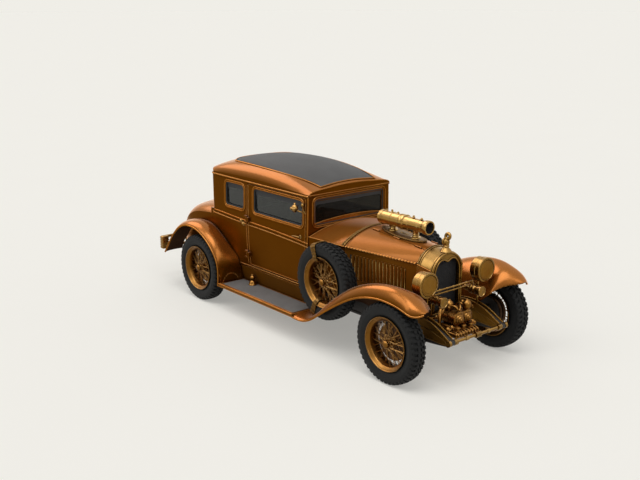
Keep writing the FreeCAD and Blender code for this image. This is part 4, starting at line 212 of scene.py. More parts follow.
def rope(path, radius=ROPE_RADIUS, pitch=ROPE_PITCH, closed=False, sides=12, steps=7):
    """Twisted bead: a bar whose lobes wind round it once in each pitch."""
    line = evenly(list(path) + ([path[0]] if closed else []), pitch / steps)
    line, turns = frames(line[:-1] if closed else line, closed)
    rows = []
    for index, (point, (side, up)) in enumerate(zip(line, turns)):
        row = []
        for k in range(sides):
            angle = math.tau * k / sides
            lobe = radius * (0.86 + 0.2 * math.cos(ROPE_STRANDS * angle - math.tau * index / steps))
            row.append(point + side * (lobe * math.cos(angle)) + up * (lobe * math.sin(angle)))
        rows.append(row)
    return grid(rows, ring=True, loop=closed, caps=not closed)


def ball(centre, radius, steps):
    return lathe([(-a, b) for a, b in circle(24, radius / MM)[:13]], centre, UP, steps)


def block(low, high, round_by, segments=2):
    """Box with rounded edges."""
    low, high = Vector(low), Vector(high)
    size = high - low
    work = bmesh.new()
    bmesh.ops.create_cube(work, size=1)
    for vert in work.verts:
        vert.co = Vector([low[k] + (vert.co[k] + 0.5) * size[k] for k in range(3)])
    reach = min(round_by, min(size) * 0.45)
    bmesh.ops.bevel(work, geom=work.edges[:], offset=reach, segments=segments, affect="EDGES", profile=0.5)
    shape = [tuple(v.co) for v in work.verts], [tuple(v.index for v in f.verts) for f in work.faces]
    work.free()
    return shape


def slab(outline, push):
    """Flat plate from a closed outline, pushed to its thickness."""
    push = Vector(push)
    front = [Vector(p) for p in outline]
    count = len(front)
    points = [tuple(p) for p in front] + [tuple(p + push) for p in front]
    faces = [tuple(range(count))[::-1], tuple(range(count, count * 2))]
    faces += [(i, (i + 1) % count, count + (i + 1) % count, count + i) for i in range(count)]
    return points, faces


def leaned(shape, turn, pivot):
    """The shape turned about a line across the car through the pivot."""
    matrix = Matrix.Translation(pivot) @ Matrix.Rotation(turn, 4, "Y") @ Matrix.Translation(-Vector(pivot))
    return [tuple(matrix @ Vector(p)) for p in shape[0]], shape[1]


def mirrored(shape):
    points, faces = shape
    return [(x, -y, z) for x, y, z in points], [tuple(face[::-1]) for face in faces]


def both(shapes):
    """The right-hand shapes with their mirror images on the left."""
    return shapes + [mirrored(shape) for shape in shapes]


def piece(name, finish, shapes, stands_for=(), body="chassis", sharp=38):
    """One object of several shapes in one finish, riding on a body of the car."""
    points, faces = [], []
    for shape_points, shape_faces in shapes:
        start = len(points)
        points += [(p[0] + REAR_AXLE, p[1], p[2]) for p in shape_points]
        faces += [tuple(start + k for k in face) for face in shape_faces]
    mesh = bpy.data.meshes.new(name)
    mesh.from_pydata(points, [], faces)
    work = bmesh.new()
    work.from_mesh(mesh)
    bmesh.ops.remove_doubles(work, verts=work.verts[:], dist=1e-6)
    bmesh.ops.recalc_face_normals(work, faces=work.faces[:])
    work.to_mesh(mesh)
    work.free()
    mesh.polygons.foreach_set("use_smooth", [True] * len(mesh.polygons))
    mesh.set_sharp_from_angle(angle=math.radians(sharp))
    mesh.materials.append(finish)
    made = bpy.data.objects.new(name, mesh)
    bpy.context.scene.collection.objects.link(made)
    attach(made, body)
    if stands_for:
        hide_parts(*stands_for)
    return made


def on_both_sides(name, body, finish, shapes, stands_for=()):
    """A piece on the right-hand body and its mirror image on the left-hand one."""
    for side, made in (("right", shapes), ("left", [mirrored(shape) for shape in shapes])):
        piece(f"{name}_{side}", finish, made, [f"{node}_{side}" for node in stands_for], f"{side}_{body}")


# Shader nodes

def put(tree, socket, value):
    """Gives an input a number, a colour or the output of another node."""
    if isinstance(value, bpy.types.NodeSocket):
        tree.links.new(value, socket)
    elif socket.type == "RGBA":
        socket.default_value = tuple(value) + (1.0,)
    else:
        socket.default_value = value


def node(tree, kind, **values):
    """A node with its settings, then its inputs."""
    made = tree.nodes.new(kind)
    for key, value in values.items():
        if key in made.bl_rna.properties:
            setattr(made, key, value)
        else:
            put(tree, made.inputs[key.replace("_", " ")], value)
    return made


def math_node(tree, operation, first, second):
    made = node(tree, "ShaderNodeMath", operation=operation)
    put(tree, made.inputs[0], first)
    put(tree, made.inputs[1], second)
    return made.outputs[0]


def mixed(tree, share, first, second):
    """Colour between two, by a share that is a number or an output."""
    made = node(tree, "ShaderNodeMix", data_type="RGBA")
    for index, value in ((0, share), (6, first), (7, second)):
        put(tree, made.inputs[index], value)
    return made.outputs[2]


def spread(tree, value, low, high, smooth=False):
    """The value stretched so that low gives 0 and high gives 1."""
    kind = "SMOOTHSTEP" if smooth else "LINEAR"
    return node(tree, "ShaderNodeMapRange", interpolation_type=kind, Value=value, From_Min=low,
                From_Max=high).outputs[0]


def between(tree, value, low, high):
    return node(tree, "ShaderNodeMapRange", Value=value, To_Min=low, To_Max=high).outputs[0]


def object_place(tree):
    return node(tree, "ShaderNodeTexCoord").outputs["Object"]


def tinted(colour, factors):
    """A colour times one factor or three."""
    return tuple(np.multiply(colour, factors).tolist())


# Effects that several finishes share

def group(name, inputs, outputs=("Mask",)):
    tree = bpy.data.node_groups.new(name, "ShaderNodeTree")
    for label, value in inputs:
        tree.interface.new_socket(label, in_out="INPUT", socket_type="NodeSocketFloat").default_value = value
    for label in outputs:
        tree.interface.new_socket(label, in_out="OUTPUT", socket_type="NodeSocketFloat")
    return tree, tree.nodes.new("NodeGroupInput").outputs, tree.nodes.new("NodeGroupOutput").inputs


def make_edge_wear():
    """Mask that is bright where an edge turns sharply, broken up by noise."""
    tree, given, result = group("edge_wear", [("Width", 0.004), ("Breakup", 60.0)])
    rounded = node(tree, "ShaderNodeBevel", samples=4, Radius=given["Width"])
    dot = node(tree, "ShaderNodeVectorMath", operation="DOT_PRODUCT")
    put(tree, dot.inputs[0], rounded.outputs[0])
    put(tree, dot.inputs[1], node(tree, "ShaderNodeNewGeometry").outputs["Normal"])
    patches = node(tree, "ShaderNodeTexNoise", Detail=3.0, Vector=object_place(tree), Scale=given["Breakup"])
    sharp = spread(tree, dot.outputs["Value"], 0.985, 0.86)
    patchy = spread(tree, patches.outputs[0], 0.38, 0.62)
    put(tree, result["Mask"], math_node(tree, "MULTIPLY", sharp, patchy))
    return tree


def make_clouding():
    """Slow and fine patches over a surface, from 0 to 1."""
    tree, given, result = group("clouding", [("Broad", 3.0), ("Fine", 40.0)], ("Mask", "Fine"))
    place = object_place(tree)
    broad = node(tree, "ShaderNodeTexNoise", Detail=4.0, Roughness=0.6, Vector=place, Scale=given["Broad"])
    fine = node(tree, "ShaderNodeTexNoise", Detail=5.0, Roughness=0.65, Vector=place, Scale=given["Fine"])
    put(tree, result["Mask"], spread(tree, broad.outputs[0], 0.32, 0.68))
    put(tree, result["Fine"], fine.outputs[0])
    return tree


def make_dirt_and_shade():
    """Mask of corners and grooves: painted shade that falls there, together with the dirt that stays there.
    """
    tree, given, result = group("dirt_and_shade", [("Reach", 0.05)])
    shade = node(tree, "ShaderNodeAmbientOcclusion", samples=6, Distance=given["Reach"])
    put(tree, result["Mask"], spread(tree, shade.outputs["AO"], 0.9, 0.35))
    return tree


def make_upward():
    """Share of a surface's turn towards the sky: 0 on upright and hanging faces, 1 on level ones."""
    tree, given, result = group("upward", [("Low", 0.10), ("High", 0.80)])
    parts = node(tree, "ShaderNodeSeparateXYZ", Vector=node(tree, "ShaderNodeNewGeometry").outputs["Normal"])
    put(tree, result["Mask"], spread(tree, parts.outputs["Z"], given["Low"], given["High"], smooth=True))
    return tree


EDGE_WEAR = make_edge_wear()
CLOUDING = make_clouding()
DIRT_AND_SHADE = make_dirt_and_shade()
UPWARD = make_upward()


def effect(tree, shared, **values):
    """The outputs of a shared effect with its settings."""
    made = tree.nodes.new("ShaderNodeGroup")
    made.node_tree = shared
    for key, value in values.items():
        made.inputs[key].default_value = value
    return made.outputs


def coat(name, slot, **values):
    """A material with its Principled shader set; gives back both."""
    made = bpy.data.materials.new(name)
    made.use_nodes = True
    made["slot"] = slot
    shader = made.node_tree.nodes["Principled BSDF"]
    for key, value in values.items():
        put(made.node_tree, shader.inputs[key.replace("_", " ")], value)
    return made, made.node_tree, shader


def bumped(tree, shader, height, strength, distance):
    bump = node(tree, "ShaderNodeBump", Strength=strength, Distance=distance, Height=height)
    put(tree, shader.inputs["Normal"], bump.outputs[0])


def dress(tree, shader, colour, gleam, rough, bump, distance=0.001, height=None):
    """Joins a finish's colour, its roughness between two values and its bump to the shader."""
    put(tree, shader.inputs["Base Color"], colour)
    put(tree, shader.inputs["Roughness"], between(tree, gleam, *rough))
    bumped(tree, shader, height or gleam, bump, distance)


# Finishes

WHITE = (1.0, 1.0, 1.0)
WARM = (1.0, 0.62, 0.34)


def worn_metal(name, slot, base, dark, bright, rough, metallic=1.0, dirt_and_shade=0.02, wear=0.002, broad=3.0,
               fine=60.0, bump=0.15, upright=WHITE, shine=0.5, gloss=0.0, rim=WHITE, grazing_sheen=None):
    """Metal or metallic paint: clouded colour, corners darkened by painted shade and dirt, bright worn
    edges, painted shade that makes upright faces darker than level ones, and a painted sheen at glancing
    angles where one is given.
    """
    made, tree, shader = coat(name, slot, Metallic=metallic, Specular_IOR_Level=shine, Coat_Roughness=0.16,
                              Specular_Tint=rim)
    clouds = effect(tree, CLOUDING, Broad=broad, Fine=fine)
    sky = effect(tree, UPWARD)["Mask"]
    share = between(tree, clouds["Mask"], 0.0, 0.35)
    # Upright faces take the colour times upright: painted shade, while level faces stay lighter.
    shaded_sides_dark = tinted(dark, upright)
    shaded_sides = mixed(tree, share, tinted(base, upright), shaded_sides_dark)
    colour = mixed(tree, sky, shaded_sides, mixed(tree, share, base, dark))
    # Corners and grooves darken: painted shade, with dirt.
    colour = mixed(tree, effect(tree, DIRT_AND_SHADE, Reach=dirt_and_shade)["Mask"], colour, tinted(shaded_sides_dark, 0.45))
    colour = mixed(tree, effect(tree, EDGE_WEAR, Width=wear)["Mask"], colour, bright)
    # Colour turns pinkish where the surface is seen edge-on: a painted sheen.
    if grazing_sheen:
        grazing = node(tree, "ShaderNodeLayerWeight", Blend=0.5).outputs["Facing"]
        colour = mixed(tree, spread(tree, grazing, 0.62, 0.94, smooth=True), colour, grazing_sheen)
    if gloss:
        put(tree, shader.inputs["Coat Weight"], between(tree, sky, 0.0, gloss))
    dress(tree, shader, colour, clouds["Fine"], (rough - 0.08, rough + 0.12), bump, 0.002)
    return made


COPPER = worn_metal("copper_paint", "copper_paint", (0.40, 0.138, 0.022), (0.30, 0.092, 0.012),
                    (0.62, 0.28, 0.09), 0.22, metallic=0.50, dirt_and_shade=0.035, wear=0.004, bump=0.015,
                    upright=(0.30, 0.27, 0.05), shine=0.0, gloss=0.35, rim=(1.0, 0.78, 0.60),
                    grazing_sheen=(0.98, 0.58, 0.38))
COPPER_PANEL = worn_metal("copper_panel", "copper_paint", (0.34, 0.125, 0.026), (0.24, 0.080, 0.012),
                          (0.60, 0.28, 0.09), 0.34, metallic=0.25, dirt_and_shade=0.03, wear=0.004, fine=90.0,
                          bump=0.04, upright=(0.50, 0.50, 0.18), shine=0.1, rim=WARM)
COPPER_TRIM = worn_metal("copper_trim", "copper_paint", (0.50, 0.215, 0.060), (0.18, 0.066, 0.016),
                         (0.90, 0.55, 0.24), 0.24, metallic=0.9, dirt_and_shade=0.018, wear=0.003, broad=14.0,
                         fine=160.0, bump=0.08, upright=(0.58, 0.50, 0.26), shine=0.1, rim=WARM,
                         grazing_sheen=(0.86, 0.48, 0.24))
COPPER_ROPE = worn_metal("copper_rope", "copper_paint", (0.52, 0.25, 0.085), (0.20, 0.085, 0.024),
                         (0.95, 0.62, 0.30), 0.26, metallic=0.9, dirt_and_shade=0.018, broad=30.0, fine=200.0,
                         bump=0.10, upright=(0.54, 0.46, 0.24), shine=0.1, rim=WARM)
BRASS = worn_metal("aged_brass", "brass", (0.47, 0.275, 0.090), (0.17, 0.086, 0.020),
                   (0.92, 0.68, 0.34), 0.24, dirt_and_shade=0.03, wear=0.003, broad=9.0, fine=120.0, bump=0.05,
                   upright=(0.50, 0.45, 0.27), grazing_sheen=(0.80, 0.58, 0.34))
# Lit copy of the aged brass: brighter, with less painted side shade, for the scope and the louvre edges that
# catch the light.
LIT_BRASS = worn_metal("lit_brass", "brass", (0.62, 0.40, 0.155), (0.34, 0.195, 0.060),
                         (0.95, 0.74, 0.42), 0.20, wear=0.003, broad=9.0, fine=120.0, bump=0.04,
                         upright=(0.62, 0.56, 0.36), grazing_sheen=(0.95, 0.74, 0.46))
WHEEL_BRASS = worn_metal("wheel_brass", "brass", (0.40, 0.195, 0.052), (0.14, 0.058, 0.015),
                         (0.90, 0.58, 0.26), 0.28, broad=12.0, fine=140.0, bump=0.10,
                         upright=(0.48, 0.43, 0.26))
LAMP_BRASS = worn_metal("lamp_glass_brass", "brass", (0.25, 0.126, 0.026), (0.19, 0.092, 0.017),
                        (0.52, 0.34, 0.13), 0.45, broad=20.0, fine=220.0, bump=0.3,
                        upright=(0.95, 0.90, 0.55))
ROPE_BRASS = worn_metal("rope_brass", "brass", (0.26, 0.145, 0.048), (0.075, 0.040, 0.014),
                        (0.62, 0.42, 0.19), 0.38, dirt_and_shade=0.012, broad=24.0, fine=200.0, bump=0.2,
                        upright=(0.70, 0.64, 0.45))
DRUM_PAINT = worn_metal("drum_brown", "copper_paint", (0.110, 0.050, 0.018), (0.045, 0.020, 0.009),
                        (0.26, 0.14, 0.06), 0.42, metallic=0.6, dirt_and_shade=0.03, broad=10.0, fine=140.0)
CHASSIS = worn_metal("chassis_black", "chassis_paint", (0.020, 0.018, 0.017), (0.045, 0.032, 0.024),
                     (0.16, 0.13, 0.11), 0.5, metallic=0.2, dirt_and_shade=0.05, wear=0.004, fine=80.0, bump=0.25)
CASTING = worn_metal("cast_grey", "cast_metal", (0.075, 0.06, 0.05), (0.03, 0.024, 0.02),
                     (0.25, 0.2, 0.16), 0.6, metallic=0.7, dirt_and_shade=0.05, wear=0.004, fine=220.0, bump=0.5)
SPRINGS = worn_metal("spring_black", "spring_steel", (0.03, 0.026, 0.024), (0.06, 0.04, 0.03),
                     (0.2, 0.15, 0.12), 0.45, metallic=0.5, dirt_and_shade=0.03, wear=0.004, fine=120.0, bump=0.25)


def make_rubber(name, slot, base, dusty, rough, fine, bump):
    """Rubber with a matt bloom and fine scuffs."""
    made, tree, shader = coat(name, slot, Specular_IOR_Level=0.24)
    clouds = effect(tree, CLOUDING, Broad=7.0, Fine=fine)
    worn = effect(tree, EDGE_WEAR, Width=0.003, Breakup=90.0)["Mask"]
    colour = mixed(tree, between(tree, clouds["Mask"], 0.0, 0.6), base, dusty)
    colour = mixed(tree, between(tree, worn, 0.0, 0.7), colour, tinted(dusty, 2.4))
    dress(tree, shader, colour, clouds["Fine"], (rough - 0.1, rough + 0.12), bump, 0.002)
    return made


TYRE = make_rubber("tyre_rubber", "tyre_rubber", (0.0048, 0.0050, 0.0052), (0.0095, 0.0098, 0.010),
                   0.62, 240.0, 0.35)
MAT = make_rubber("mat_rubber", "mat_rubber", (0.165, 0.155, 0.146), (0.120, 0.113, 0.106),
                  0.72, 320.0, 0.5)


def make_roof_cloth():
    """Coated grey cloth: fine weave, faint blotches."""
    made, tree, shader = coat("roof_cloth", "roof_fabric", Sheen_Weight=0.15)
    place = object_place(tree)
    threads = [node(tree, "ShaderNodeTexWave", wave_type="BANDS", bands_direction=direction, Scale=160.0,
                    Distortion=1.2, Detail=1.0, Vector=place).outputs["Fac"] for direction in ("X", "Y")]
    weave = math_node(tree, "MULTIPLY", *threads)
    clouds = effect(tree, CLOUDING, Broad=4.0, Fine=420.0)
    colour = mixed(tree, clouds["Mask"], (0.074, 0.073, 0.0715), (0.054, 0.0535, 0.0525))
    colour = mixed(tree, between(tree, weave, 0.0, 0.35), colour, (0.105, 0.104, 0.102))
    height = math_node(tree, "ADD", weave, clouds["Fine"])
    dress(tree, shader, colour, clouds["Fine"], (0.66, 0.86), 0.35, height=height)
    return made


def make_glass(name, tint, bend):
    """Dark old glass with faint waves and a smoky tint."""
    made, tree, shader = coat(name, "window_glass", Metallic=0.0, Transmission_Weight=0.9, IOR=bend)
    clouds = effect(tree, CLOUDING, Broad=2.0, Fine=9.0)
    dress(tree, shader, tint, clouds["Fine"], (0.01, 0.06), 0.02, 0.01, clouds["Mask"])
    return made


def make_dark(name, slot, base, rough):
    """Matt black surface for bores and seals, and for black sheets of painted shade in openings and at
    panes.
    """
    made, tree, shader = coat(name, slot)
    clouds = effect(tree, CLOUDING, Broad=12.0, Fine=180.0)
    colour = mixed(tree, clouds["Mask"], base, tinted(base, 1.8))
    dress(tree, shader, colour, clouds["Fine"], (rough - 0.08, rough + 0.1), 0.25)
    return made


def make_leather():
    """Brown hide with a pebbled grain and darker creases."""
    made, tree, shader = coat("seat_hide", "seat_leather")
    pebbles = node(tree, "ShaderNodeTexVoronoi", Scale=190.0, Vector=object_place(tree))
    clouds = effect(tree, CLOUDING, Broad=6.0, Fine=60.0)
    worn = effect(tree, EDGE_WEAR, Width=0.008, Breakup=30.0)["Mask"]
    colour = mixed(tree, clouds["Mask"], (0.105, 0.040, 0.018), (0.060, 0.022, 0.010))
    colour = mixed(tree, between(tree, worn, 0.0, 0.6), colour, (0.22, 0.10, 0.05))
    dress(tree, shader, colour, clouds["Fine"], (0.38, 0.58), 0.25, height=pebbles.outputs["Distance"])
    return made


def make_wood(name, slot, light, dark, gloss):
    """Varnished wood with long grain across the car."""
    made, tree, shader = coat(name, slot, Coat_Weight=gloss, Coat_Roughness=0.12)
    stretch = node(tree, "ShaderNodeMapping", Vector=object_place(tree), Scale=(22.0, 2.2, 22.0))
    rings = node(tree, "ShaderNodeTexNoise", Scale=3, Detail=6, Distortion=1.6, Vector=stretch.outputs[0])
    colour = mixed(tree, between(tree, rings.outputs[0], -0.4, 1.4), light, dark)
    dress(tree, shader, colour, rings.outputs[0], (0.35, 0.5), 0.08)
    return made


ROOF_CLOTH = make_roof_cloth()
GLASS = make_glass("window_glass", (0.16, 0.175, 0.155), 1.36)
SCREEN_GLASS = make_glass("windshield_glass", (0.085, 0.072, 0.056), 1.17)
SEAL = make_dark("black_seal", "tyre_rubber", (0.008, 0.008, 0.009), 0.6)
MESH_BLACK = make_dark("radiator_black", "radiator_mesh", (0.011, 0.011, 0.013), 0.45)
LEATHER = make_leather()
WALNUT = make_wood("walnut", "dash_wood", (0.20, 0.085, 0.032), (0.060, 0.024, 0.010), 0.8)
BOARDS = make_wood("floor_planks", "floor_boards", (0.11, 0.07, 0.042), (0.05, 0.032, 0.02), 0.0)
RIM_WOOD = make_wood("steering_rim", "wheel_rim", (0.085, 0.036, 0.018), (0.025, 0.012, 0.007), 0.9)


def make_fender_paint():
    """Copper above, and dark brown painted shade on the faces that look down."""
    made = COPPER.copy()
    made.name = "fender_paint"
    made["slot"] = "copper_paint"
    tree = made.node_tree
    shader = tree.nodes["Principled BSDF"]
    # The mask is 0 on faces that look down, which turn dark brown: painted shade under the fenders.
    below = effect(tree, UPWARD, Low=-0.22, High=-0.10)["Mask"]
    old = shader.inputs["Base Color"].links[0].from_socket
    put(tree, shader.inputs["Base Color"], mixed(tree, below, (0.06, 0.03, 0.018), old))
    put(tree, shader.inputs["Metallic"], between(tree, below, 0.1, 0.74))
    return made


def repaint(finish, nodes):
    """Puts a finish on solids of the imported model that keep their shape."""
    for name in nodes.split():
        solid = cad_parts[name]
        solid.data.materials.clear()
        solid.data.materials.append(finish)


repaint(COPPER, "cabin_body door_left door_right windshield_frame roof rear_deck deck_lid cowl "
                "hood_top_left hood_top_right hood_centre")
repaint(COPPER_PANEL, "running_boards hood_sides")
repaint(make_fender_paint(), "front_fenders rear_fenders")
repaint(GLASS, "door_glass_left door_glass_right fixed_glass")
repaint(SCREEN_GLASS, "windshield_glass")
repaint(ROOF_CLOTH, "roof_insert")
repaint(MESH_BLACK, "radiator_core")
repaint(BRASS, "radiator_shell front_tube rear_bumper")
repaint(CHASSIS, "frame_rails cross_members front_axle rear_axle knuckle_left knuckle_right tie_rod "
                 "exhaust fuel_tank steering_column")
repaint(SPRINGS, "front_springs rear_springs")
repaint(CASTING, "engine_block")
repaint(BOARDS, "floor")
repaint(WALNUT, "dashboard")
repaint(RIM_WOOD, "steering_wheel")


# Tyres and wheels

LUGS = 46
LUG_HEIGHT = 0.0135
LUG_SKEW = 0.45
TREAD_DROP = 0.009
HUB_FLANGE = 0.047
SPOKE_END = 0.2265
SPOKE_RADIUS = 0.0026
NIPPLE_RADIUS = 0.0044
FLUTE_RING = 0.0365
BOLT_RING = 0.085
SPARE = (SPARE_X, SPARE_Y, SPARE_Z)
STRAP_LIFT = 0.004
STRAP_RADIUS = 0.0092


def turned(profile, centre, outward, steps):
    """Turned shape on an axle line; its distances run outwards from the centre."""
    return lathe([(distance * outward, radius) for distance, radius in profile], centre, LEFT, steps)


def doubled(half):
    """A profile followed by its mirror image."""
    return half + [(-distance, radius) for distance, radius in half[::-1]]


def round_axle(centre, out, radius, turn):
    """Point at a distance along a wheel's axle line and a turn round it."""
    return Vector(centre) + Vector((radius * math.cos(turn), out, radius * math.sin(turn)))


def tread_top(share):
    """Radius of the worn tread surface at a share of the tyre's half width."""
    return TYRE_RADIUS - TREAD_DROP * (share / 0.8) ** 2


def tyre_section():
    """Tyre's outline: share of the half width, radius, height of a lug there and its kind."""
    side = ((0.60, 0.2470), (0.66, 0.2485), (0.71, 0.262), (0.735, 0.279), (0.755, 0.281), (0.79, 0.283),
            (0.88, 0.300), (0.955, 0.322), (0.985, 0.343), (0.992, 0.347), (0.985, 0.351), (0.975, 0.366),
            (0.955, 0.378))
    shoulder = ((0.955, 0.383), (0.93, 0.392), (0.885, 0.402), (0.80, 0.4095))
    tread = ((0.70, 0.70, 1), (0.52, 0.52, 1), (0.50, 0.5, 0), (0.44, 0.4, 0), (0.42, 0.42, 2),
             (0.14, 0.14, 2), (0.12, 0.1, 0))
    lug = LUG_HEIGHT * 0.8
    half = [(share, radius, 0, 0) for share, radius in side]
    half += [(share, radius - lug, lug, 1) for share, radius in shoulder]
    half += [(share, tread_top(near) - LUG_HEIGHT, LUG_HEIGHT, kind) for share, near, kind in tread]
    return [(-share, *rest) for share, *rest in half] + half[::-1]


def tyre_shape(centre, outward):
    """Tyre with ribbed sides, shoulder lugs and two rows of centre blocks."""
    section = tyre_section()
    # Share of the pitch between lugs, and whether shoulder lugs and centre blocks stand there.
    beats = ((0.0, 0, 1), (0.07, 1, 1), (0.33, 1, 0), (0.60, 1, 0), (0.67, 0, 1), (0.84, 0, 1))
    rows = []
    for lug in range(LUGS):
        for beat, shoulder_lift, middle_lift in beats:
            row = []
            for share, radius, height, kind in section:
                lift = (0, shoulder_lift, middle_lift)[kind]
                turn = math.tau * (lug + beat + (LUG_SKEW * share if kind else 0)) / LUGS
                row.append(round_axle(centre, share * TYRE_HALF * outward, radius + height * lift, turn))
            rows.append(row)
    return grid(rows, loop=True)


def wheel_shapes(centre, outward):
    """Deep rim with rolled flanges, and a waisted hub with a fluted ring and a domed cap."""
    flange = [(55.8, 233.5), (66.6, 240), (72, 252), (77.4, 256), (81, 264), (87.3, 266.5), (90, 270.5),
              (88.65, 276.5), (85.5, 276.5), (82.8, 270), (77.4, 262), (61.2, 245.5)]
    well = [(-40.5, 232.5), (-27, 225), (27, 225), (40.5, 232.5)]
    hub = [(-62, 0), (-62, 46), (-50, 50), (-40, 46), (-30, 44), (-22, 36), (20, 33), (36, 36), (44, 44),
           (52, 45), (60, 41), (62, 30), (66, 30), (68, 36), (74, 38), (80, 36), (87, 29), (92, 19),
           (95.5, 8), (96, 0)]
    shapes = [turned(doubled(flange) + well + flange[:1], centre, outward, 96),
              turned(hub, centre, outward, 40)]
    for a, b in circle(12, FLUTE_RING):
        start = Vector(centre) + Vector((a, 0.066 * outward, b))
        shapes.append(tube([start, start + Vector((0, 0.0125 * outward, 0))], 0.0042, 8))
    return shapes


def spoke_shapes(centre, outward):
    """Four rows of crossed wire spokes with their nipples."""
    rows = ((0.047, 0.036, 0.004, 20, 50), (0.047, 0.036, 0.022, 20, 62), (-0.030, 0.040, -0.014, 24, 58),
            (0.047, 0.038, -0.006, 20, 36))
    shapes = []
    for hub_y, hub_radius, rim_y, count, lean in rows:
        for index in range(count):
            rim_turn = math.tau * (index + 0.25 * hub_y / HUB_FLANGE) / count
            hub_turn = rim_turn + math.radians(-lean if index % 2 else lean)
            start = round_axle(centre, hub_y * outward, hub_radius, hub_turn)
            end = round_axle(centre, rim_y * outward, SPOKE_END, rim_turn)
            run = (end - start).normalized()
            nipple = [end - run * 0.013, end + run * 0.002]
            shapes += [tube([start, end], SPOKE_RADIUS, 6), tube(nipple, NIPPLE_RADIUS, 6)]
    return shapes


def drum_shapes(centre, outward):
    """Brake drum with cooling ribs, its guard and a row of bolts."""
    drum = [(-50, 47), (-52, 120), (-54, 150), (-60, 166), (-64, 169), (-68, 164), (-72, 170), (-76, 164),
            (-80, 170), (-84, 164), (-90, 170), (-96, 170), (-96, 30)]
    guard = [(-36, 50), (-34, 120), (-28, 178), (-24, 188), (-30, 191), (-36, 180), (-42, 120), (-44, 50)]
    shapes = [turned(profile, centre, outward, 72) for profile in (drum, guard)]
    for a, b in circle(8, BOLT_RING, 0.5):
        place = Vector(centre) + Vector((a, -0.0515 * outward, b))
        shapes.append(turned([(0, 0), (0, 10), (6, 10), (6.5, 0)], place, outward, 6))
    return shapes


def make_wheels():
    """Tyre, wheel, spokes and brake drum on each of the four wheel bodies."""
    for end, x in (("front", WHEELBASE), ("rear", 0.0)):
        for side, outward in (("right", -1), ("left", 1)):
            name, body = f"{end}_{side}", f"{end}_{side}_wheel"
            at = (x, TRACK_HALF * outward, AXLE_Z), outward
            piece(f"tyre_{name}_treaded", TYRE, [tyre_shape(*at)], [f"tyre_{name}"], body, sharp=50)
            piece(f"wheel_{name}_wired", WHEEL_BRASS, wheel_shapes(*at), [f"wheel_{name}"], body)
            piece(f"spokes_{name}", WHEEL_BRASS, spoke_shapes(*at), (), body)
            piece(f"drum_{name}", DRUM_PAINT, drum_shapes(*at), (), body)


def strap_path(angle):
    """Closed path round the spare's tyre and rim, in the plane through its axle."""
    section = [(1.0, 0.352), (0.97, 0.384), (0.82, 0.412), (0.45, 0.4195), (0.0, 0.4215), (-0.45, 0.4195),
               (-0.82, 0.412), (-0.97, 0.384), (-1.0, 0.352), (-1.0, 0.300), (-0.98, 0.262), (-0.6, 0.228),
               (0.0, 0.219), (0.6, 0.228), (0.98, 0.262), (1.0, 0.300)]
    path = []
    for share, radius in section:
        out = STRAP_LIFT if radius > 0.3 else -STRAP_LIFT
        wide = TYRE_HALF + (STRAP_LIFT + 0.0005 if abs(share) > 0.9 else 0)
        path.append(round_axle(SPARE, share * wide, radius + out, math.radians(angle)))
    return spaced(path + path[:1], 90)[:-1]


def make_spares():
    """Spare wheels in the wells of the front fenders, each held by two bands of rope."""
    piece("spare_tyres_treaded", TYRE, both([tyre_shape(SPARE, 1)]), ["spare_tyres"], sharp=50)
    piece("spare_wheels_wired", WHEEL_BRASS, both(wheel_shapes(SPARE, 1)), ["spare_wheels"])
    piece("spare_spokes", WHEEL_BRASS, both(spoke_shapes(SPARE, 1)))
    straps = [rope(strap_path(angle + shift), STRAP_RADIUS, BROAD_PITCH, closed=True, sides=9, steps=5)
              for angle in (108.5, 250.5) for shift in (-4.2, -1.4, 1.4, 4.2)]
    boss = [(-63, 0), (-63, 40), (-70, 45), (-95, 45), (-105, 36), (-140, 36), (-165, 44), (-215, 45)]
    straps.append(lathe(boss, SPARE, LEFT, 40))
    piece("spare_straps_roped", ROPE_BRASS, both(straps), ["spare_straps"])


make_wheels()
make_spares()


# The body's surfaces

CORNER_RUN = CORNER_RADIUS * math.pi / 2
WINDOW_ROUND = 0.045
DOOR_WINDOW = (0.885, 1.258), (1.800, 1.540)
QUARTER_WINDOW = (0.300, 1.258), (0.680, 1.540)
REAR_WINDOW = (-0.300, 1.320), (0.300, 1.490)
WINDSHIELD = (-0.517, 1.275), (0.517, 1.560)
BELT_PLACES = (-0.2, 0.149, 0.476, 0.79, 1.189, 1.566, 1.765, 1.90)
BELT_HEIGHTS = (1.118, 1.108, 1.094, 1.084, 1.076, 1.060, 1.050, 1.040)
ROOF_STATIONS = ((0.0, 0.40, 0.42, 0.93), (0.05, 0.60, 0.64, 0.95), (0.16, 0.81, 0.86, 1.0),
                 (0.34, 0.95, 0.98, 1.0), (0.53, 1.0, 1.0, 1.0), (0.82, 0.80, 0.74, 0.96),
                 (1.0, 0.36, 0.36, 0.90))
ROOF_REAR = CABIN_REAR - 0.010
ROOF_RUN = 1.960
ROOF_CROWN = 0.255
ROOF_SHOULDER = ROOF_CROWN - 0.061
ROOF_EDGE = ROOF_BASE + 0.020
ROOF_SMOOTH = spaced(ROOF_STATIONS, 160)
SHOULDER_HALF = 0.450
INSERT_HALF = 0.452
INSERT_FRONT = 1.872
INSERT_REAR = 0.088
INSERT_BOW = 0.216
HOOD_PLACES = ((1.9003, 0.600, 1.158, 1.268), (HOOD_REAR, HOOD_REAR_HALF, 1.120, 1.285),
               (HOOD_FRONT, HOOD_FRONT_HALF, 1.070, 1.232), (RADIATOR_FACE, 0.222, 1.030, 1.195))


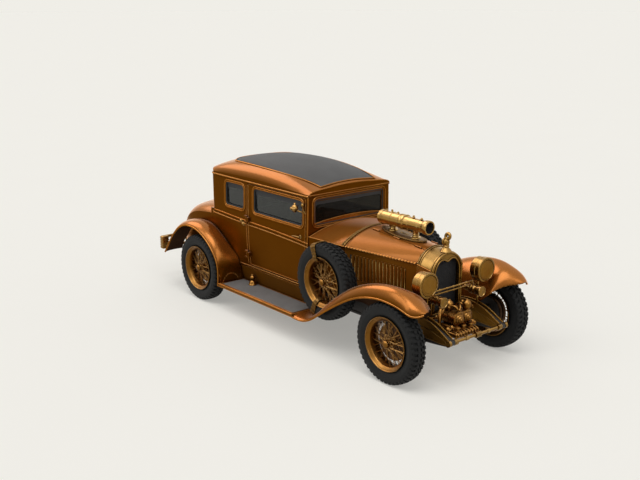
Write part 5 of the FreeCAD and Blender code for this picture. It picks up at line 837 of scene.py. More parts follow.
def side_half(z):
    """Half width of the cabin at a height: round below the belt, straight above it."""
    if z >= BELT_Z:
        return BELT_HALF + (WINDOW_HALF - BELT_HALF) * (z - BELT_Z) / (ROOF_BASE - BELT_Z)
    places = ((BODY_BOTTOM, SILL_HALF), (MIDDLE_Z, MIDDLE_HALF), (BELT_Z, BELT_HALF))
    total = 0.0
    for here, half in places:
        for other, _ in places:
            if other != here:
                half *= (z - other) / (here - other)
        total += half
    return total


def on_body(x, z, out=0.0):
    """Point on the cabin's right side; places behind the corner run round onto its back."""
    half = side_half(z)
    run = CORNER_X - x
    if run <= 0:
        return x, -half - out, z
    if run > CORNER_RUN:
        return CABIN_REAR - out, -BELT_HALF + CORNER_RADIUS + run - CORNER_RUN, z
    angle = run / CORNER_RADIUS
    reach = CORNER_RADIUS + out
    y = -BELT_HALF + CORNER_RADIUS - reach * math.cos(angle)
    return CORNER_X - reach * math.sin(angle), max(y, -half - out), z


def upright(x, low, high, count, out=0.0):
    """Line up the body's side."""
    return [on_body(x, z, out) for z in np.linspace(low, high, count)]


def level(z, rear, front, count, out=0.0):
    """Line along the body's side."""
    return [on_body(x, z, out) for x in np.linspace(rear, front, count)]


def belt_path(rear, front, lift, out):
    """Line along the belt, lifted off its lower bead and off the body."""
    path = []
    for x in np.linspace(rear, front, max(3, int((front - rear) / 0.03))):
        path.append(on_body(x, float(np.interp(x, BELT_PLACES, BELT_HEIGHTS)) + lift, out))
    return path


def rounded_loop(opening, grow, radius=WINDOW_ROUND):
    """Closed outline of a rounded opening, pushed out by a distance."""
    low, high = opening
    reach = radius + grow
    corners = ((high[0], high[1], 0), (low[0], high[1], 90), (low[0], low[1], 180), (high[0], low[1], 270))
    loop = []
    for a, b, start in corners:
        centre_a = a - math.copysign(radius, a - (low[0] + high[0]) / 2)
        centre_b = b - math.copysign(radius, b - (low[1] + high[1]) / 2)
        for step in range(7):
            turn = math.radians(start + 15 * step)
            loop.append((centre_a + reach * math.cos(turn), centre_b + reach * math.sin(turn)))
    return loop


def side_ring(window, grow, out, thick, sides=10):
    """Bar round a window in the cabin's side."""
    loop = [on_body(a, b, out) for a, b in rounded_loop(window, grow)]
    return tube(loop, thick, sides, closed=True)


def end_ring(window, grow, x, thick, sides=10):
    """Bar round the windshield or the rear window."""
    return tube([(x, a, b) for a, b in rounded_loop(window, grow)], thick, sides, closed=True)


def twin_line(x, side, middle=()):
    """Line across the car: a side's points, those of the middle and the side's mirror image."""
    return [(x, -a, b) for a, b in side] + list(middle) + [(x, a, b) for a, b in side[::-1]]


def roof_height(x, y):
    """Height of the roof's outside at a place."""
    along = (x - ROOF_REAR) / ROOF_RUN
    crown, shoulder, half = (np.interp(along, ROOF_SMOOTH[:, 0], ROOF_SMOOTH[:, k]) for k in (1, 2, 3))
    top = ROOF_BASE + ROOF_CROWN * crown
    bend_z = ROOF_BASE + ROOF_SHOULDER * shoulder
    bend_y = SHOULDER_HALF * half
    side = [(BELT_HALF, ROOF_EDGE),
            (BELT_HALF - (BELT_HALF - bend_y) * 0.22, ROOF_EDGE + (bend_z - ROOF_EDGE) * 0.55),
            (bend_y, bend_z), (bend_y / 2, (bend_z + top * 3) / 4), (0, top)]
    curve = spaced(side + [(-a, b) for a, b in side[-2::-1]], 90)
    return float(np.interp(-abs(y), -curve[:46, 0], curve[:46, 1]))


def on_roof(x, y, lift):
    return x, y, roof_height(x, y) + lift


def hood_shape(x):
    """Half width of the hood, and the heights of its side bead and of its crown."""
    places, *columns = zip(*HOOD_PLACES)
    return [float(np.interp(x, places, column)) for column in columns]


def hood_circle(x):
    """Half width, radius and centre height of the hood's round top."""
    half, bead, crown = hood_shape(x)
    rise = crown - bead
    radius = (half * half + rise * rise) / (2 * rise)
    return half, radius, crown - radius


def on_hood(x, y, lift):
    _, radius, centre = hood_circle(x)
    return x, y, centre + math.sqrt(max(radius * radius - y * y, 0)) + lift


def hood_arch(x, out, share=1.0):
    """Points across the round hood, lifted off it by a distance."""
    half, radius, centre = hood_circle(x)
    reach = math.asin(min(1, half / radius)) * share
    return [(x, (radius + out) * math.sin(t), centre + (radius + out) * math.cos(t))
            for t in np.linspace(-reach, reach, 25)]


def hood_side(rear, front, lift, count):
    """Line where the hood's round top meets its right side."""
    places = [(x, *hood_shape(x)) for x in np.linspace(rear, front, count)]
    return [(x, -half - 0.003, bead + lift) for x, half, bead, _ in places]


# Cabin trim

BELT_GAP = 0.040
BEAD_LIFT = 0.002
ROPE_LIFT = 0.003
EDGE_INSET = 0.012
SCUTTLE_X = CABIN_FRONT - 0.015
CORNER_ROPE_Z = 1.110
SILL_Z = 0.5655
DRIP_Z = ROOF_BASE + 0.006
BEHIND_DOOR = CORNER_X, DOOR_REAR - 0.013
AHEAD_OF_DOOR = DOOR_FRONT + GAP / 2, CABIN_FRONT
GLASS_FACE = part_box("door_glass_right")[0].y
PANE_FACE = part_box("windshield_glass")[1].x - REAR_AXLE
SHADE_BAND_DROP = 0.062
SHADE_BAND_EDGE = 0.017
SHADE_BAND_NEAR, SHADE_BAND_FAR = 0.001, 0.004
SEAL_GROW = -0.006


def shade_band_shape(window, place):
    """Black band round a pane that stands in for shade, deepest along its top; place puts two measures and a
    depth in the car.
    """
    (low_a, low_b), (high_a, high_b) = window
    pane = (low_a + SHADE_BAND_EDGE, low_b + SHADE_BAND_EDGE * 0.6), (high_a - SHADE_BAND_EDGE, high_b - SHADE_BAND_DROP)
    outer, inner = rounded_loop(window, 0.004), rounded_loop(pane, 0.0, 0.050)
    rings = (outer, SHADE_BAND_NEAR), (outer, SHADE_BAND_FAR), (inner, SHADE_BAND_FAR), (inner, SHADE_BAND_NEAR)
    return grid([[place(a, b, depth) for a, b in loop] for loop, depth in rings], ring=True, loop=True)


def window_beads(window):
    """Double bead round a side window."""
    return [side_ring(window, 0.026, 0.001, 0.0095), side_ring(window, 0.007, 0.002, 0.0075)]


def window_seals(window):
    """Rubber seal of a side window, and the black band of painted shade at its pane."""
    return [side_ring(window, SEAL_GROW, -0.008, 0.0085, 8),
            shade_band_shape(window, lambda a, b, depth: (a, GLASS_FACE - depth, b))]


def make_door_trim():
    """Beads, rope, seals, black bands of painted shade and handle of each door."""
    rear, front = DOOR_REAR + GAP, DOOR_FRONT - GAP
    shapes = window_beads(DOOR_WINDOW) + [tube(belt_path(rear, front, BELT_GAP, BEAD_LIFT), 0.008)]
    for x, thick in ((DOOR_REAR + 0.014, 0.006), (DOOR_FRONT - 0.014, 0.005)):
        edge = upright(x, DOOR_BOTTOM + EDGE_INSET, DOOR_TOP - EDGE_INSET, 30)
        shapes.append(tube(edge, thick, 8, flat=0.8))
    shapes.append(tube(level(DOOR_BOTTOM + 0.014, rear + 0.01, front - 0.01, 8), 0.006, 8))
    on_both_sides("door_beads", "door", COPPER_TRIM, shapes)
    on_both_sides("door_belt_rope", "door", COPPER_ROPE, [rope(belt_path(rear, front, 0.0, ROPE_LIFT))])
    # Seals, and black bands of painted shade at the pane.
    on_both_sides("door_seals_and_shade_bands", "door", SEAL, window_seals(DOOR_WINDOW))
    on_both_sides("door_handles", "door", BRASS, handle_shapes(DOOR_FRONT - 0.095, 1.135))


def handle_shapes(x, z):
    """Curved lever on a round rose."""
    rose = Vector(on_body(x, z))
    grip = [rose + Vector(step) for step in ((0, -0.022, 0), (-0.02, -0.030, 0.002), (-0.055, -0.031, 0.002),
                                             (-0.095, -0.029, -0.003), (-0.118, -0.022, -0.010))]
    return [lathe([(0, 0), (0, 22), (4, 22), (7, 17), (9, 12), (24, 10), (27, 0)], rose, RIGHT, 28),
            tube(spaced(grip, 18), np.linspace(0.0085, 0.006, 18)), ball(grip[-1], 0.0085, 14)]


def make_cabin_trim():
    """Beads, seals and black bands of painted shade on the fixed part of the cabin."""
    shapes = window_beads(QUARTER_WINDOW)
    shapes += [tube(belt_path(*ends, BELT_GAP, BEAD_LIFT), 0.008) for ends in (BEHIND_DOOR, AHEAD_OF_DOOR)]
    shapes.append(tube(upright(CABIN_FRONT - 0.008, 1.05, 1.592, 20, -0.002), 0.0095))
    shapes.append(tube(upright(DOOR_REAR - 0.026, 0.60, 1.56, 24, -0.002), 0.006, 8))
    shapes = both(shapes)
    for window, grow, x, thick in ((WINDSHIELD, 0.030, CABIN_FRONT + 0.001, 0.0095),
                                   (WINDSHIELD, 0.010, CABIN_FRONT + 0.001, 0.0065),
                                   (REAR_WINDOW, 0.024, CABIN_REAR - 0.001, 0.0085),
                                   (REAR_WINDOW, 0.007, CABIN_REAR - 0.001, 0.0055)):
        shapes.append(end_ring(window, grow, x, thick))
    foot = [(0.517, 1.290), (0.366, 1.308), (0.22, 1.319)]
    arch = spaced(twin_line(SCUTTLE_X, foot, [(SCUTTLE_X, 0, 1.326)]), 40)
    shapes.append(slab([*arch, (SCUTTLE_X, 0.517, 1.268), (SCUTTLE_X, -0.517, 1.268)], (0.014, 0, 0)))
    shapes.append(tube([(CABIN_FRONT, y, z) for _, y, z in arch], 0.0075))
    piece("cabin_beads", COPPER_TRIM, shapes)
    seals = both(window_seals(QUARTER_WINDOW))
    # Black band of painted shade at the windshield's pane.
    seals.append(shade_band_shape(WINDSHIELD, lambda a, b, depth: (PANE_FACE + depth, a, b)))
    seals.append(end_ring(REAR_WINDOW, SEAL_GROW, CABIN_REAR + 0.008, 0.0085, 8))
    seals.append(end_ring(WINDSHIELD, SEAL_GROW, CABIN_FRONT - 0.006, 0.008, 8))
    piece("cabin_seals_and_shade_bands", SEAL, seals)


def make_cabin_ropes():
    """Ropes along the belt and over the deck, along the sill and under the roof."""
    rises = (0.0, 0.006, 0.018, 0.036, 0.052, 0.064, 0.070)
    belt = belt_path(CORNER_X + 0.02, BEHIND_DOOR[1], 0.0, ROPE_LIFT)[::-1]
    for k, rise in enumerate(rises):
        belt.append(on_body(CORNER_X - CORNER_RUN * k / 6, CORNER_ROPE_Z + rise, ROPE_LIFT))
    over_deck = ((-0.42, 1.190), (-0.30, 1.201), (-0.15, 1.213), (0.0, 1.217))
    belt += [(CABIN_REAR - ROPE_LIFT, y, z) for y, z in over_deck]
    reach = CORNER_RADIUS + 0.009
    drip = [(CABIN_FRONT + 0.004, -0.604)]
    drip += [(x, -0.609) for x in np.linspace(1.88, CORNER_X + 0.005, 40)]
    drip += [(CORNER_X - reach * math.sin(turn), CORNER_RADIUS - WINDOW_HALF - reach * math.cos(turn))
             for turn in np.radians(range(10, 100, 10))]
    drip += [(CORNER_X - reach, y) for y in (-0.30, -0.15, 0.0)]
    ropes = [rope(spaced(belt, 90)), rope(belt_path(*AHEAD_OF_DOOR, 0.0, ROPE_LIFT)),
             rope(level(SILL_Z, 0.56, SCUTTLE_X, 40, ROPE_LIFT), 0.007, FINE_PITCH),
             rope([(x, y, DRIP_Z) for x, y in drip], 0.0095, BROAD_PITCH)]
    piece("cabin_ropes", COPPER_ROPE, both(ropes))


def insert_outline():
    """Edge of the roof's fabric: bowed sides, a straight front and a round rear."""
    side = spaced([(INSERT_REAR + INSERT_BOW, INSERT_HALF), (1.087, 0.492), (INSERT_FRONT, 0.407)], 40)
    front = [(INSERT_FRONT, y) for y in np.linspace(0.38, -0.38, 20)]
    radius = (INSERT_HALF ** 2 + INSERT_BOW ** 2) / (2 * INSERT_BOW)
    reach = math.asin(INSERT_HALF / radius)
    rear = [(INSERT_REAR + radius - radius * math.cos(t), radius * math.sin(t))
            for t in np.linspace(-reach, reach, 36)[1:-1]]
    return [*side, *front, *[(x, -y) for x, y in side[::-1]], *rear]


def make_roof_trim():
    """Bead over the windshield, and the seam and corner welts of the fabric."""
    front = ROOF_REAR + ROOF_RUN
    arch = [(front - 0.002, y, roof_height(front, y) - 0.001) for y in np.linspace(-0.598, 0.598, 60)]
    lower = [(front - 0.002, y, 1.617) for y in np.linspace(-0.598, 0.598, 20)]
    piece("visor_beads", COPPER_TRIM, [rope(arch), tube(lower, 0.0075, 8)])
    edge = insert_outline()
    piece("roof_welt", COPPER_TRIM, [tube([on_roof(x, y, 0.005) for x, y in edge], 0.0075, 8, closed=True)])
    stitches = [on_roof(x, y * 0.965, 0.0065) for x, y in edge]
    piece("roof_fabric_seam", SEAL, [tube(stitches, 0.0028, 6, closed=True)])


def make_belt_fittings():
    """Double-lobed brass fittings on the belt behind the door."""
    lobe = [(0, 0), (0, 26), (4, 26), (6, 22), (9, 22), (13, 16), (20, 10), (22, 0)]
    shapes = [lathe(lobe, on_body(x, z, 0.002), RIGHT, 28) for x, z in ((0.630, 1.110), (0.672, 1.080))]
    place, reach = Vector(on_body(0.651, 1.095, 0.004)), Vector((0.035, 0, -0.024))
    shapes.append(tube([place - reach, place + reach], 0.007, 8))
    piece("belt_fittings", BRASS, both(shapes))


def make_hood_trim():
    """Rolled bead where the round hood meets its flat sides, and ropes across it."""
    shapes = both([tube(hood_side(COWL_BEAD_X - 0.004, HOOD_REAR - 0.006, 0.004, 16), 0.0085),
                   tube(hood_side(HOOD_FRONT + 0.006, RADIATOR_FACE - 0.012, 0.004, 10), 0.0085)])
    shapes.append(tube(hood_arch(COWL_BEAD_X, 0.001), 0.0085))
    piece("cowl_beads", COPPER_TRIM, shapes)
    line = hood_side(HOOD_REAR + 0.010, HOOD_FRONT - 0.010, 0.009, 30)
    on_both_sides("hood_bead", "hood", COPPER_TRIM, [rope(line, 0.0135, 0.036)])
    places = ((2.345, 0.005, 0.012, BROAD_PITCH), (2.318, 0.004, 0.0075, FINE_PITCH),
              (HOOD_FRONT + 0.014, 0.003, 0.0075, FINE_PITCH))
    ropes = [rope(hood_arch(x, out), thick, pitch) for x, out, thick, pitch in places]
    piece("hood_ropes", ROPE_BRASS, ropes)


LOUVRES = 16
LOUVRE_STEP = 0.0495
LOUVRE_DROP = 0.066
LOUVRE_HEIGHT = 0.258


def make_hood_sides():
    """Louvres with rolled edges beside black plates of painted shade in their openings, and two latches, on
    each side of the hood.
    """
    rear = Vector((HOOD_REAR, -HOOD_REAR_HALF, 0))
    run = Vector((HOOD_FRONT, -HOOD_FRONT_HALF, 0)) - rear
    out = Vector((run.y, -run.x, 0)).normalized()
    way = run.normalized()
    slot_shades, edges, latches = [], [], []
    for index in range(LOUVRES):
        place = rear + run * (0.083 + index * LOUVRE_STEP)
        top = Vector((0, 0, hood_shape(place.x)[1] - LOUVRE_DROP))
        low = top - Vector((0, 0, LOUVRE_HEIGHT))
        near, far = place - way * 0.0082, place + way * 0.0082
        # Black plate in the opening: painted shade.
        slot_shades.append(slab([near + low, far + low, far + top, near + top], out * 0.0022))
        edge, inset = place + way * 0.0165 + out * 0.007, Vector((0, 0, 0.006))
        edges.append(tube([edge + low + inset, edge + top - inset], 0.0072, 8))
    for share in (0.04, 0.93):
        place = rear + run * share + Vector((0, 0, 0.72))
        rose = [(0, 0), (0, 20), (5, 20), (8, 13), (20, 10), (22, 0)]
        hook = [place + out * reach + Vector((0, 0, up))
                for reach, up in ((0.018, 0), (0.024, 0.03), (0.018, 0.065))]
        latches += [lathe(rose, place, out, 24), tube(hook, 0.0055, 8)]
    piece("louvre_slot_shades", MESH_BLACK, both(slot_shades))
    # Louvre edges in the lit brass: a painted highlight where they catch the light.
    piece("louvre_edges", LIT_BRASS, both(edges))
    piece("hood_latches", BRASS, both(latches))


make_door_trim()
make_cabin_trim()
make_cabin_ropes()
make_roof_trim()
make_belt_fittings()
make_hood_trim()
make_hood_sides()


# Fenders and boards

MAT_INNER, MAT_OUTER = -0.532, -0.838
MAT_BOTTOM, MAT_TOP = 0.3342, 0.3375
BOARD_REAR, BOARD_FRONT = 0.478, 1.935
LIP_RADIUS = 0.010
LIP_REAR, LIP_LENGTH = 1.940, 1.877
LIP_FOOT, LIP_RISE = 0.300, 0.576
REAR_ARCH = 0.480


def make_fender_beads():
    """Rolled lips of the four fenders."""
    front = ((0.0, 0.0, 0.0), (0.08, 0.003, 0.0), (0.16, 0.088, 0.0), (0.25, 0.28, 0.0), (0.40, 0.595, 0.0),
             (0.556, 0.855, 0.0), (0.70, 0.965, 0.0), (0.80, 0.97, 0.0), (0.90, 0.92, 0.0),
             (0.955, 0.865, 0.014), (0.985, 0.865, 0.07), (0.998, 0.89, 0.115))
    rear = ((-15, 1.0), (12, 1.0), (32, 0.98), (58, 0.96), (84, 1.02), (104, 1.105), (124, 1.22),
            (144, 1.315), (162, 1.435), (177, 1.64))
    front_lip = []
    for along, up, inward in front:
        y = 0.003 - FENDER_OUTER * (1 - inward)
        front_lip.append((LIP_REAR + LIP_LENGTH * along, y, LIP_FOOT + LIP_RISE * up))
    rear_lip = [round_axle((0, 0, AXLE_Z), 0.003 - FENDER_OUTER, REAR_ARCH * share, math.radians(angle))
                for angle, share in rear]
    lips = [tube(spaced(front_lip, 90), LIP_RADIUS), tube(spaced(rear_lip, 80), LIP_RADIUS)]
    piece("fender_lips", COPPER_TRIM, both(lips))


def make_boards():
    """Ribbed mats, edge beads, a rope along the valance and a step fitting."""
    low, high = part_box("step_mats")
    rear, front = low.x - REAR_AXLE, high.x - REAR_AXLE
    inner, outer = MAT_INNER, MAT_OUTER
    mats = [block((rear, outer, MAT_BOTTOM), (front, inner, MAT_TOP), 0.001)]
    for y in np.linspace(outer + 0.012, inner - 0.012, 19):
        rib = [(rear + 0.012, y, MAT_TOP - 0.0003), (front - 0.012, y, MAT_TOP - 0.0003)]
        mats.append(tube(rib, 0.0042, 6, flat=0.8))
    piece("step_mats_ribbed", MAT, both(mats), ["step_mats"])
    rear, front, outer, inner = rear - 0.006, front + 0.006, outer - 0.006, inner + 0.006
    corners = (rear, outer), (front, outer), (front, inner), (rear, inner), (rear, outer)
    loop = [(x, y, 0.336) for x, y in corners]
    beads = []
    for z, thick, sides in ((0.331, 0.009, 10), (0.301, 0.006, 8)):
        edge = [(x, 0.002 - FENDER_OUTER, z) for x in np.linspace(BOARD_REAR, BOARD_FRONT, 20)]
        beads.append(tube(edge, thick, sides))
    beads.append(tube(evenly(loop, 0.05)[:-1], 0.005, 8, closed=True))
    piece("board_beads", COPPER_TRIM, both(beads))
    line = [(x, -0.560, 0.533) for x in np.linspace(0.50, 1.92, 30)]
    piece("board_ropes", COPPER_TRIM, both([rope(line, 0.006, 0.024)]))
    bell = [(0, 0), (0, 52), (8, 53), (14, 46), (34, 42), (50, 32), (58, 22), (66, 26), (78, 33), (94, 34),
            (108, 26), (116, 16), (124, 18), (132, 14), (138, 0)]
    piece("step_bells", WHEEL_BRASS, both([lathe(bell, (0.80, -0.585, 0.338), UP, 28)]))


make_fender_beads()
make_boards()


# Front of the car

WIRE_RADIUS = 0.0022
LAMP_X = 3.487
UPPER_BAR, LOWER_BAR = 0.861, 0.827
SHELL_MIDDLE, SHELL_REAR = 3.379, 3.235
ARCH_SHARE = 0.97
TRUMPET_Y = 0.284
CASE_REAR, CASE_FRONT, CASE_Z = 3.447, 3.647, 0.560
SCOPE_REAR, SCOPE_LENGTH, SCOPE_Z = 2.405, 0.735, 1.400


def make_radiator_trim():
    """Beads round the shell and its cusped opening, and the ribbed foot."""
    x = RADIATOR_FACE
    inner = [(0.184, 0.600), (0.184, 0.70), (0.184, 0.85), (0.184, 0.975), (0.176, 1.035), (0.145, 1.093),
             (0.095, 1.128), (0.045, 1.125), (0.012, 1.108)]
    outer = [(0.215, 0.560), (0.216, 0.75), (0.218, 0.95), (0.219, 1.030)]
    crest = [(a, b, c + 0.003) for a, b, c in hood_arch(SHELL_MIDDLE, 0.001, ARCH_SHARE)]
    shapes = [tube(spaced(twin_line(x + 0.001, inner), 90), 0.0095),
              tube(twin_line(x - 0.004, outer, hood_arch(x, -0.004, ARCH_SHARE)), 0.0125, 12),
              tube(crest, 0.008), tube(hood_arch(SHELL_REAR, 0.002), 0.007),
              tube(twin_line(x - 0.002, [(0.21, 0.570)]), 0.010)]
    for z in (0.64, 0.80, 0.96):
        for y in (-0.2, 0.2):
            shapes.append(lathe([(0, 0), (0, 7), (3, 6.5), (5, 0)], (x - 0.001, y, z), AHEAD, 12))
    piece("radiator_beads", BRASS, shapes)
    foot = [block((3.270, -0.205, 0.440), (3.372, 0.205, 0.584), 0.012, 3)]
    foot += [block((3.365, y - 0.005, 0.455), (3.378, y + 0.005, 0.575), 0.002)
             for y in np.linspace(-0.17, 0.17, 9)]
    piece("radiator_foot", MESH_BLACK, foot)


def make_filler_cap():
    """Turned filler cap with a bulb and a plain ring over it."""
    cap = [(0, 60), (8, 62), (14, 56), (26, 50), (40, 34), (50, 29), (58, 36), (64, 36), (70, 29), (85, 34),
           (104, 38), (122, 32), (132, 21), (138, 19), (140, 0)]
    loop = [(3.376 + 0.026 * a, 0.014 + 0.006 * b, 1.360 + 0.027 * b) for a, b in circle(32, 1)]
    shapes = [lathe(cap, (3.362, 0.008, 1.198), UP, 32), tube(loop, 0.0175, 12, closed=True)]
    piece("filler_cap_turned", BRASS, shapes)


def make_radiator_weave():
    """Wires up and across the core, shorter where the shell's opening narrows."""
    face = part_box("radiator_core")[1].x - REAR_AXLE + 0.002
    wires = [[(face, y, 0.590), (face, y, 1.122 if abs(y) > 0.02 else 1.09)]
             for y in np.linspace(-0.176, 0.176, 30)]
    wires += [twin_line(face + 0.0025, [(0.178 - max(z - 1.0, 0) * 0.62, z)])
              for z in np.linspace(0.600, 1.105, 42)]
    piece("radiator_weave", MESH_BLACK, [tube(wire, WIRE_RADIUS, 5) for wire in wires])


def make_headlamps():
    """Brass lamps with a ribbed face, a rolled rim and a stepped, pointed back."""
    centre = (3.547, -0.428, 0.968)
    drum = [(-160, 0), (-160, 20), (-154, 30), (-148, 32), (-142, 60), (-128, 94), (-118, 118), (-110, 124),
            (-100, 124.5), (-60, 124.5), (-56, 128), (-50, 128), (-46, 124.5), (-14, 124.5), (-10, 130),
            (0, 132), (8, 129), (12, 122), (12, 112), (4, 108)]
    face = [(4, 108), (10, 103), (7, 96), (11, 88), (8, 80), (12, 70), (9, 60), (12, 50), (9, 40), (12, 30),
            (9, 20), (12, 12), (12, 0)]
    piece("headlamp_drums", BRASS, both([lathe(drum, centre, AHEAD, 64)]), ["headlamps"])
    piece("headlamp_faces", LAMP_BRASS, both([lathe(face, centre, AHEAD, 64)]))


def bar_shape(z, half):
    """Bar across the car with seven rounded collars."""
    profile = [(-half, 0), (-half, 9)]
    for y in np.linspace(60 - half, half - 60, 7):
        profile += [(y - 12, 9), (y - 9, 12.5), (y, 14), (y + 9, 12.5), (y + 12, 9)]
    return lathe(profile + [(half, 9), (half, 0)], (LAMP_X, 0, z), LEFT, 16)


def make_lamp_bar():
    """Double bar on two posts, with the two trumpets hanging from it."""
    post = [(0, 26), (6, 26), (12, 15), (90, 11.5), (100, 17), (110, 11.5), (200, 11.5), (240, 11.5),
            (250, 16), (260, 11.5), (272, 12), (272, 0)]
    trumpet = [(0, 0), (0, 26), (4, 30), (10, 30), (14, 26), (22, 26), (26, 30), (34, 30), (38, 18),
               (50, 16), (56, 21), (62, 18), (72, 30), (78, 44), (86, 49), (100, 50), (106, 46), (120, 46),
               (126, 50), (142, 50), (148, 46), (164, 46), (170, 50), (188, 50), (196, 54), (222, 56),
               (230, 54), (231, 49), (224, 45), (222, 30), (226, 12), (228, 0)]
    right = [lathe(post, (LAMP_X, -0.380, 0.572), UP, 20),
             lathe(trumpet, (3.399, -TRUMPET_Y, 0.781), AHEAD, 40),
             tube([(LAMP_X, -TRUMPET_Y, 0.775), (LAMP_X, -TRUMPET_Y, UPPER_BAR)], 0.011)]
    bars = [bar_shape(UPPER_BAR, 355), bar_shape(LOWER_BAR, 376)]
    piece("lamp_bar_turned", BRASS, bars + both(right), ["lamp_bar"])


def curl(centre, radius, start, sweep, thick, lean):
    """A curved pipe with rounded collars at both ends."""
    path = [round_axle(centre, lean * t, radius, math.radians(start + sweep * t))
            for t in np.linspace(0, 1, 16)]
    return [tube(path, thick), ball(path[0], thick * 1.5, 12), ball(path[-1], thick * 1.5, 12)]


def case_block(low, high, round_by, segments=2):
    """Block beside the blower's case: its corners count from the case's rear, front and axis."""
    (rear, right, bottom), (front, left, top) = low, high
    return block((CASE_REAR + rear, right, CASE_Z + bottom), (CASE_FRONT + front, left, CASE_Z + top),
                 round_by, segments)


def blower_case():
    """Twin-lobed case with ribs, stepped covers and bolts, and the shaft across it."""
    profile = [(0, 0), (0, 70), (6, 78), *ribs(np.linspace(30, 150, 6), 73.5, 78, 7, 5), (172, 73.5),
               (174, 80), (190, 80), (194, 74), (197, 56), (206, 52), (212, 40), (222, 36), (228, 22),
               (234, 20), (237, 10), (238, 0)]
    bolt = [(0, 0), (0, 6.5), (6, 6), (8, 0)]
    shapes = []
    for y in (-0.060, 0.060):
        shapes.append(lathe(profile, (CASE_REAR, y, CASE_Z), AHEAD, 40))
        for a, b in circle(8, 0.065, 0.5):
            shapes.append(lathe(bolt, (CASE_REAR + 0.194, y + a, CASE_Z + b), AHEAD, 6))
    shaft = [(-353, 0), (-353, 24), (-345, 26), (-337, 17), (-200, 17), (-195, 23), (-180, 23), (-175, 17)]
    shapes.append(lathe(doubled(shaft), (CASE_REAR, 0, CASE_Z), LEFT, 20))
    duct = [(0, 0), (0, 27), (50, 27)]
    shapes.append(lathe(duct, (RADIATOR_FACE + 0.0004, 0, CASE_Z + 0.039), AHEAD, 20))
    shapes.append(case_block((0.004, -0.055, -0.072), (-0.012, 0.055, 0.072), 0.01, 3))
    return shapes


def blower_pots():
    """Domed pots above, before and below the case."""
    tall = [(0, 30), (40, 26), (46, 34), (54, 34), (58, 28), (78, 30), (90, 44), (102, 47), (112, 44),
            (118, 46), (128, 46), (140, 41), (154, 30), (164, 16), (170, 15), (176, 10), (178, 0)]
    low = [(0, 34), (14, 36), (18, 26), (36, 24), (42, 30), (52, 26), (60, 0)]
    shapes = [lathe(tall, (x, y, CASE_Z + 0.010), UP, 32) for x, y in ((3.507, -0.075), (3.612, 0.075))]
    for y, size in ((-0.185, 30), (0.185, 30), (-0.120, 36), (0.120, 36)):
        pot = [(0, 0), (0, size), (10, size + 4), (22, size), (30, size * 0.7), (40, size * 0.72),
               (48, size * 0.4), (54, 0)]
        shapes.append(lathe(pot, (CASE_FRONT - 0.050, y, CASE_Z - 0.090), AHEAD, 24))
    for x, y in ((0.050, -0.150), (0.040, 0.060), (0.030, -0.040)):
        shapes.append(lathe(low, (CASE_FRONT + x, y, CASE_Z - 0.094), UP, 24))
    return shapes


def blower_sump():
    """Ribbed sump and the ribbed tray before it."""
    shapes = [case_block((0.010, -0.150, -0.138), (-0.030, 0.150, -0.060), 0.022, 3)]
    for y in np.linspace(-0.130, 0.130, 8):
        shapes.append(case_block((0.006, y - 0.005, -0.142), (-0.022, y + 0.005, -0.066), 0.004))
    shapes.append(case_block((0.160, -0.215, -0.150), (0.100, 0.120, -0.092), 0.020, 3))
    for y in np.linspace(-0.195, 0.100, 8):
        rib = [(CASE_FRONT + x, y, CASE_Z + z)
               for x, z in ((-0.035, -0.088), (0.040, -0.086), (0.098, -0.100), (0.104, -0.135))]
        shapes.append(tube(spaced(rib, 12), 0.0085, 8))
    return shapes


def blower_pipes():
    """Three curls of pipe on the case and a bent pipe at each side of it."""
    shapes = curl((3.572, -0.100, 0.640), 0.050, 150, -190, 0.013, 0.05)
    shapes += curl((3.532, 0.070, 0.630), 0.055, 20, 170, 0.012, -0.03)
    shapes += curl((3.597, 0.020, 0.665), 0.038, 190, -200, 0.010, -0.08)
    bends = ((0.05, 1, 0.47), (0.07, 1.12, 0.53), (0.06, 1.05, 0.60), (0.03, 0.8, 0.66))
    for y in (-0.20, 0.20):
        pipe = [(CASE_REAR + x, y * wide, z) for x, wide, z in bends]
        shapes += [tube(spaced(pipe, 20), 0.018, 12), ball(pipe[0], 0.030, 16), ball(pipe[-1], 0.026, 16)]
    return shapes


def make_blower():
    """The whole blower before the radiator, one piece."""
    shapes = blower_case() + blower_pots() + blower_sump() + blower_pipes()
    piece("blower_cased", WHEEL_BRASS, shapes, ["blower"])


def make_front_tube():
    """Ribbed bosses at the ends, the middle and the quarters of the cross tube."""
    bosses = ((-331, 23.5, 30.5), (-160, 18, 23), (0, 34, 31), (160, 18, 23), (331, 23.5, 30.5))
    profile = []
    for y, half, radius in bosses:
        bands = ribs(np.linspace(y - half + 4, y + half - 4, 5), radius * 0.86, radius, 5, 3)
        profile += [(y - half, 17), *bands, (y + half, 17)]
    piece("front_tube_ribs", BRASS, [lathe(profile, (3.830, 0, 0.445), LEFT, 28)])


def make_horn_blades():
    """Flat brass blades with rims and a middle rib on both sides of each frame horn."""
    upper = spaced([(3.06, 0.575), (3.20, 0.602), (3.34, 0.618), (3.48, 0.612), (3.62, 0.572), (3.74, 0.512),
                    (3.815, 0.470)], 30)
    lower = spaced([(3.06, 0.440), (3.20, 0.432), (3.34, 0.428), (3.48, 0.424), (3.62, 0.418), (3.74, 0.414),
                    (3.815, 0.420)], 30)
    shapes = []
    for face, push in ((-0.4055, -0.005), (-0.3545, 0.005)):
        outline = [(a, face, b) for a, b in (*upper, *lower[::-1])]
        rim = [(a, face + push, b) for a, _, b in outline]
        rib = [(u[0], face + push, (u[1] + w[1]) / 2) for u, w in zip(upper, lower)]
        shapes += [slab(outline, (0, push, 0)), tube(rim, 0.0065, 8, closed=True), tube(rib, 0.0045, 8)]
    piece("horn_blades", LAMP_BRASS, both(shapes))


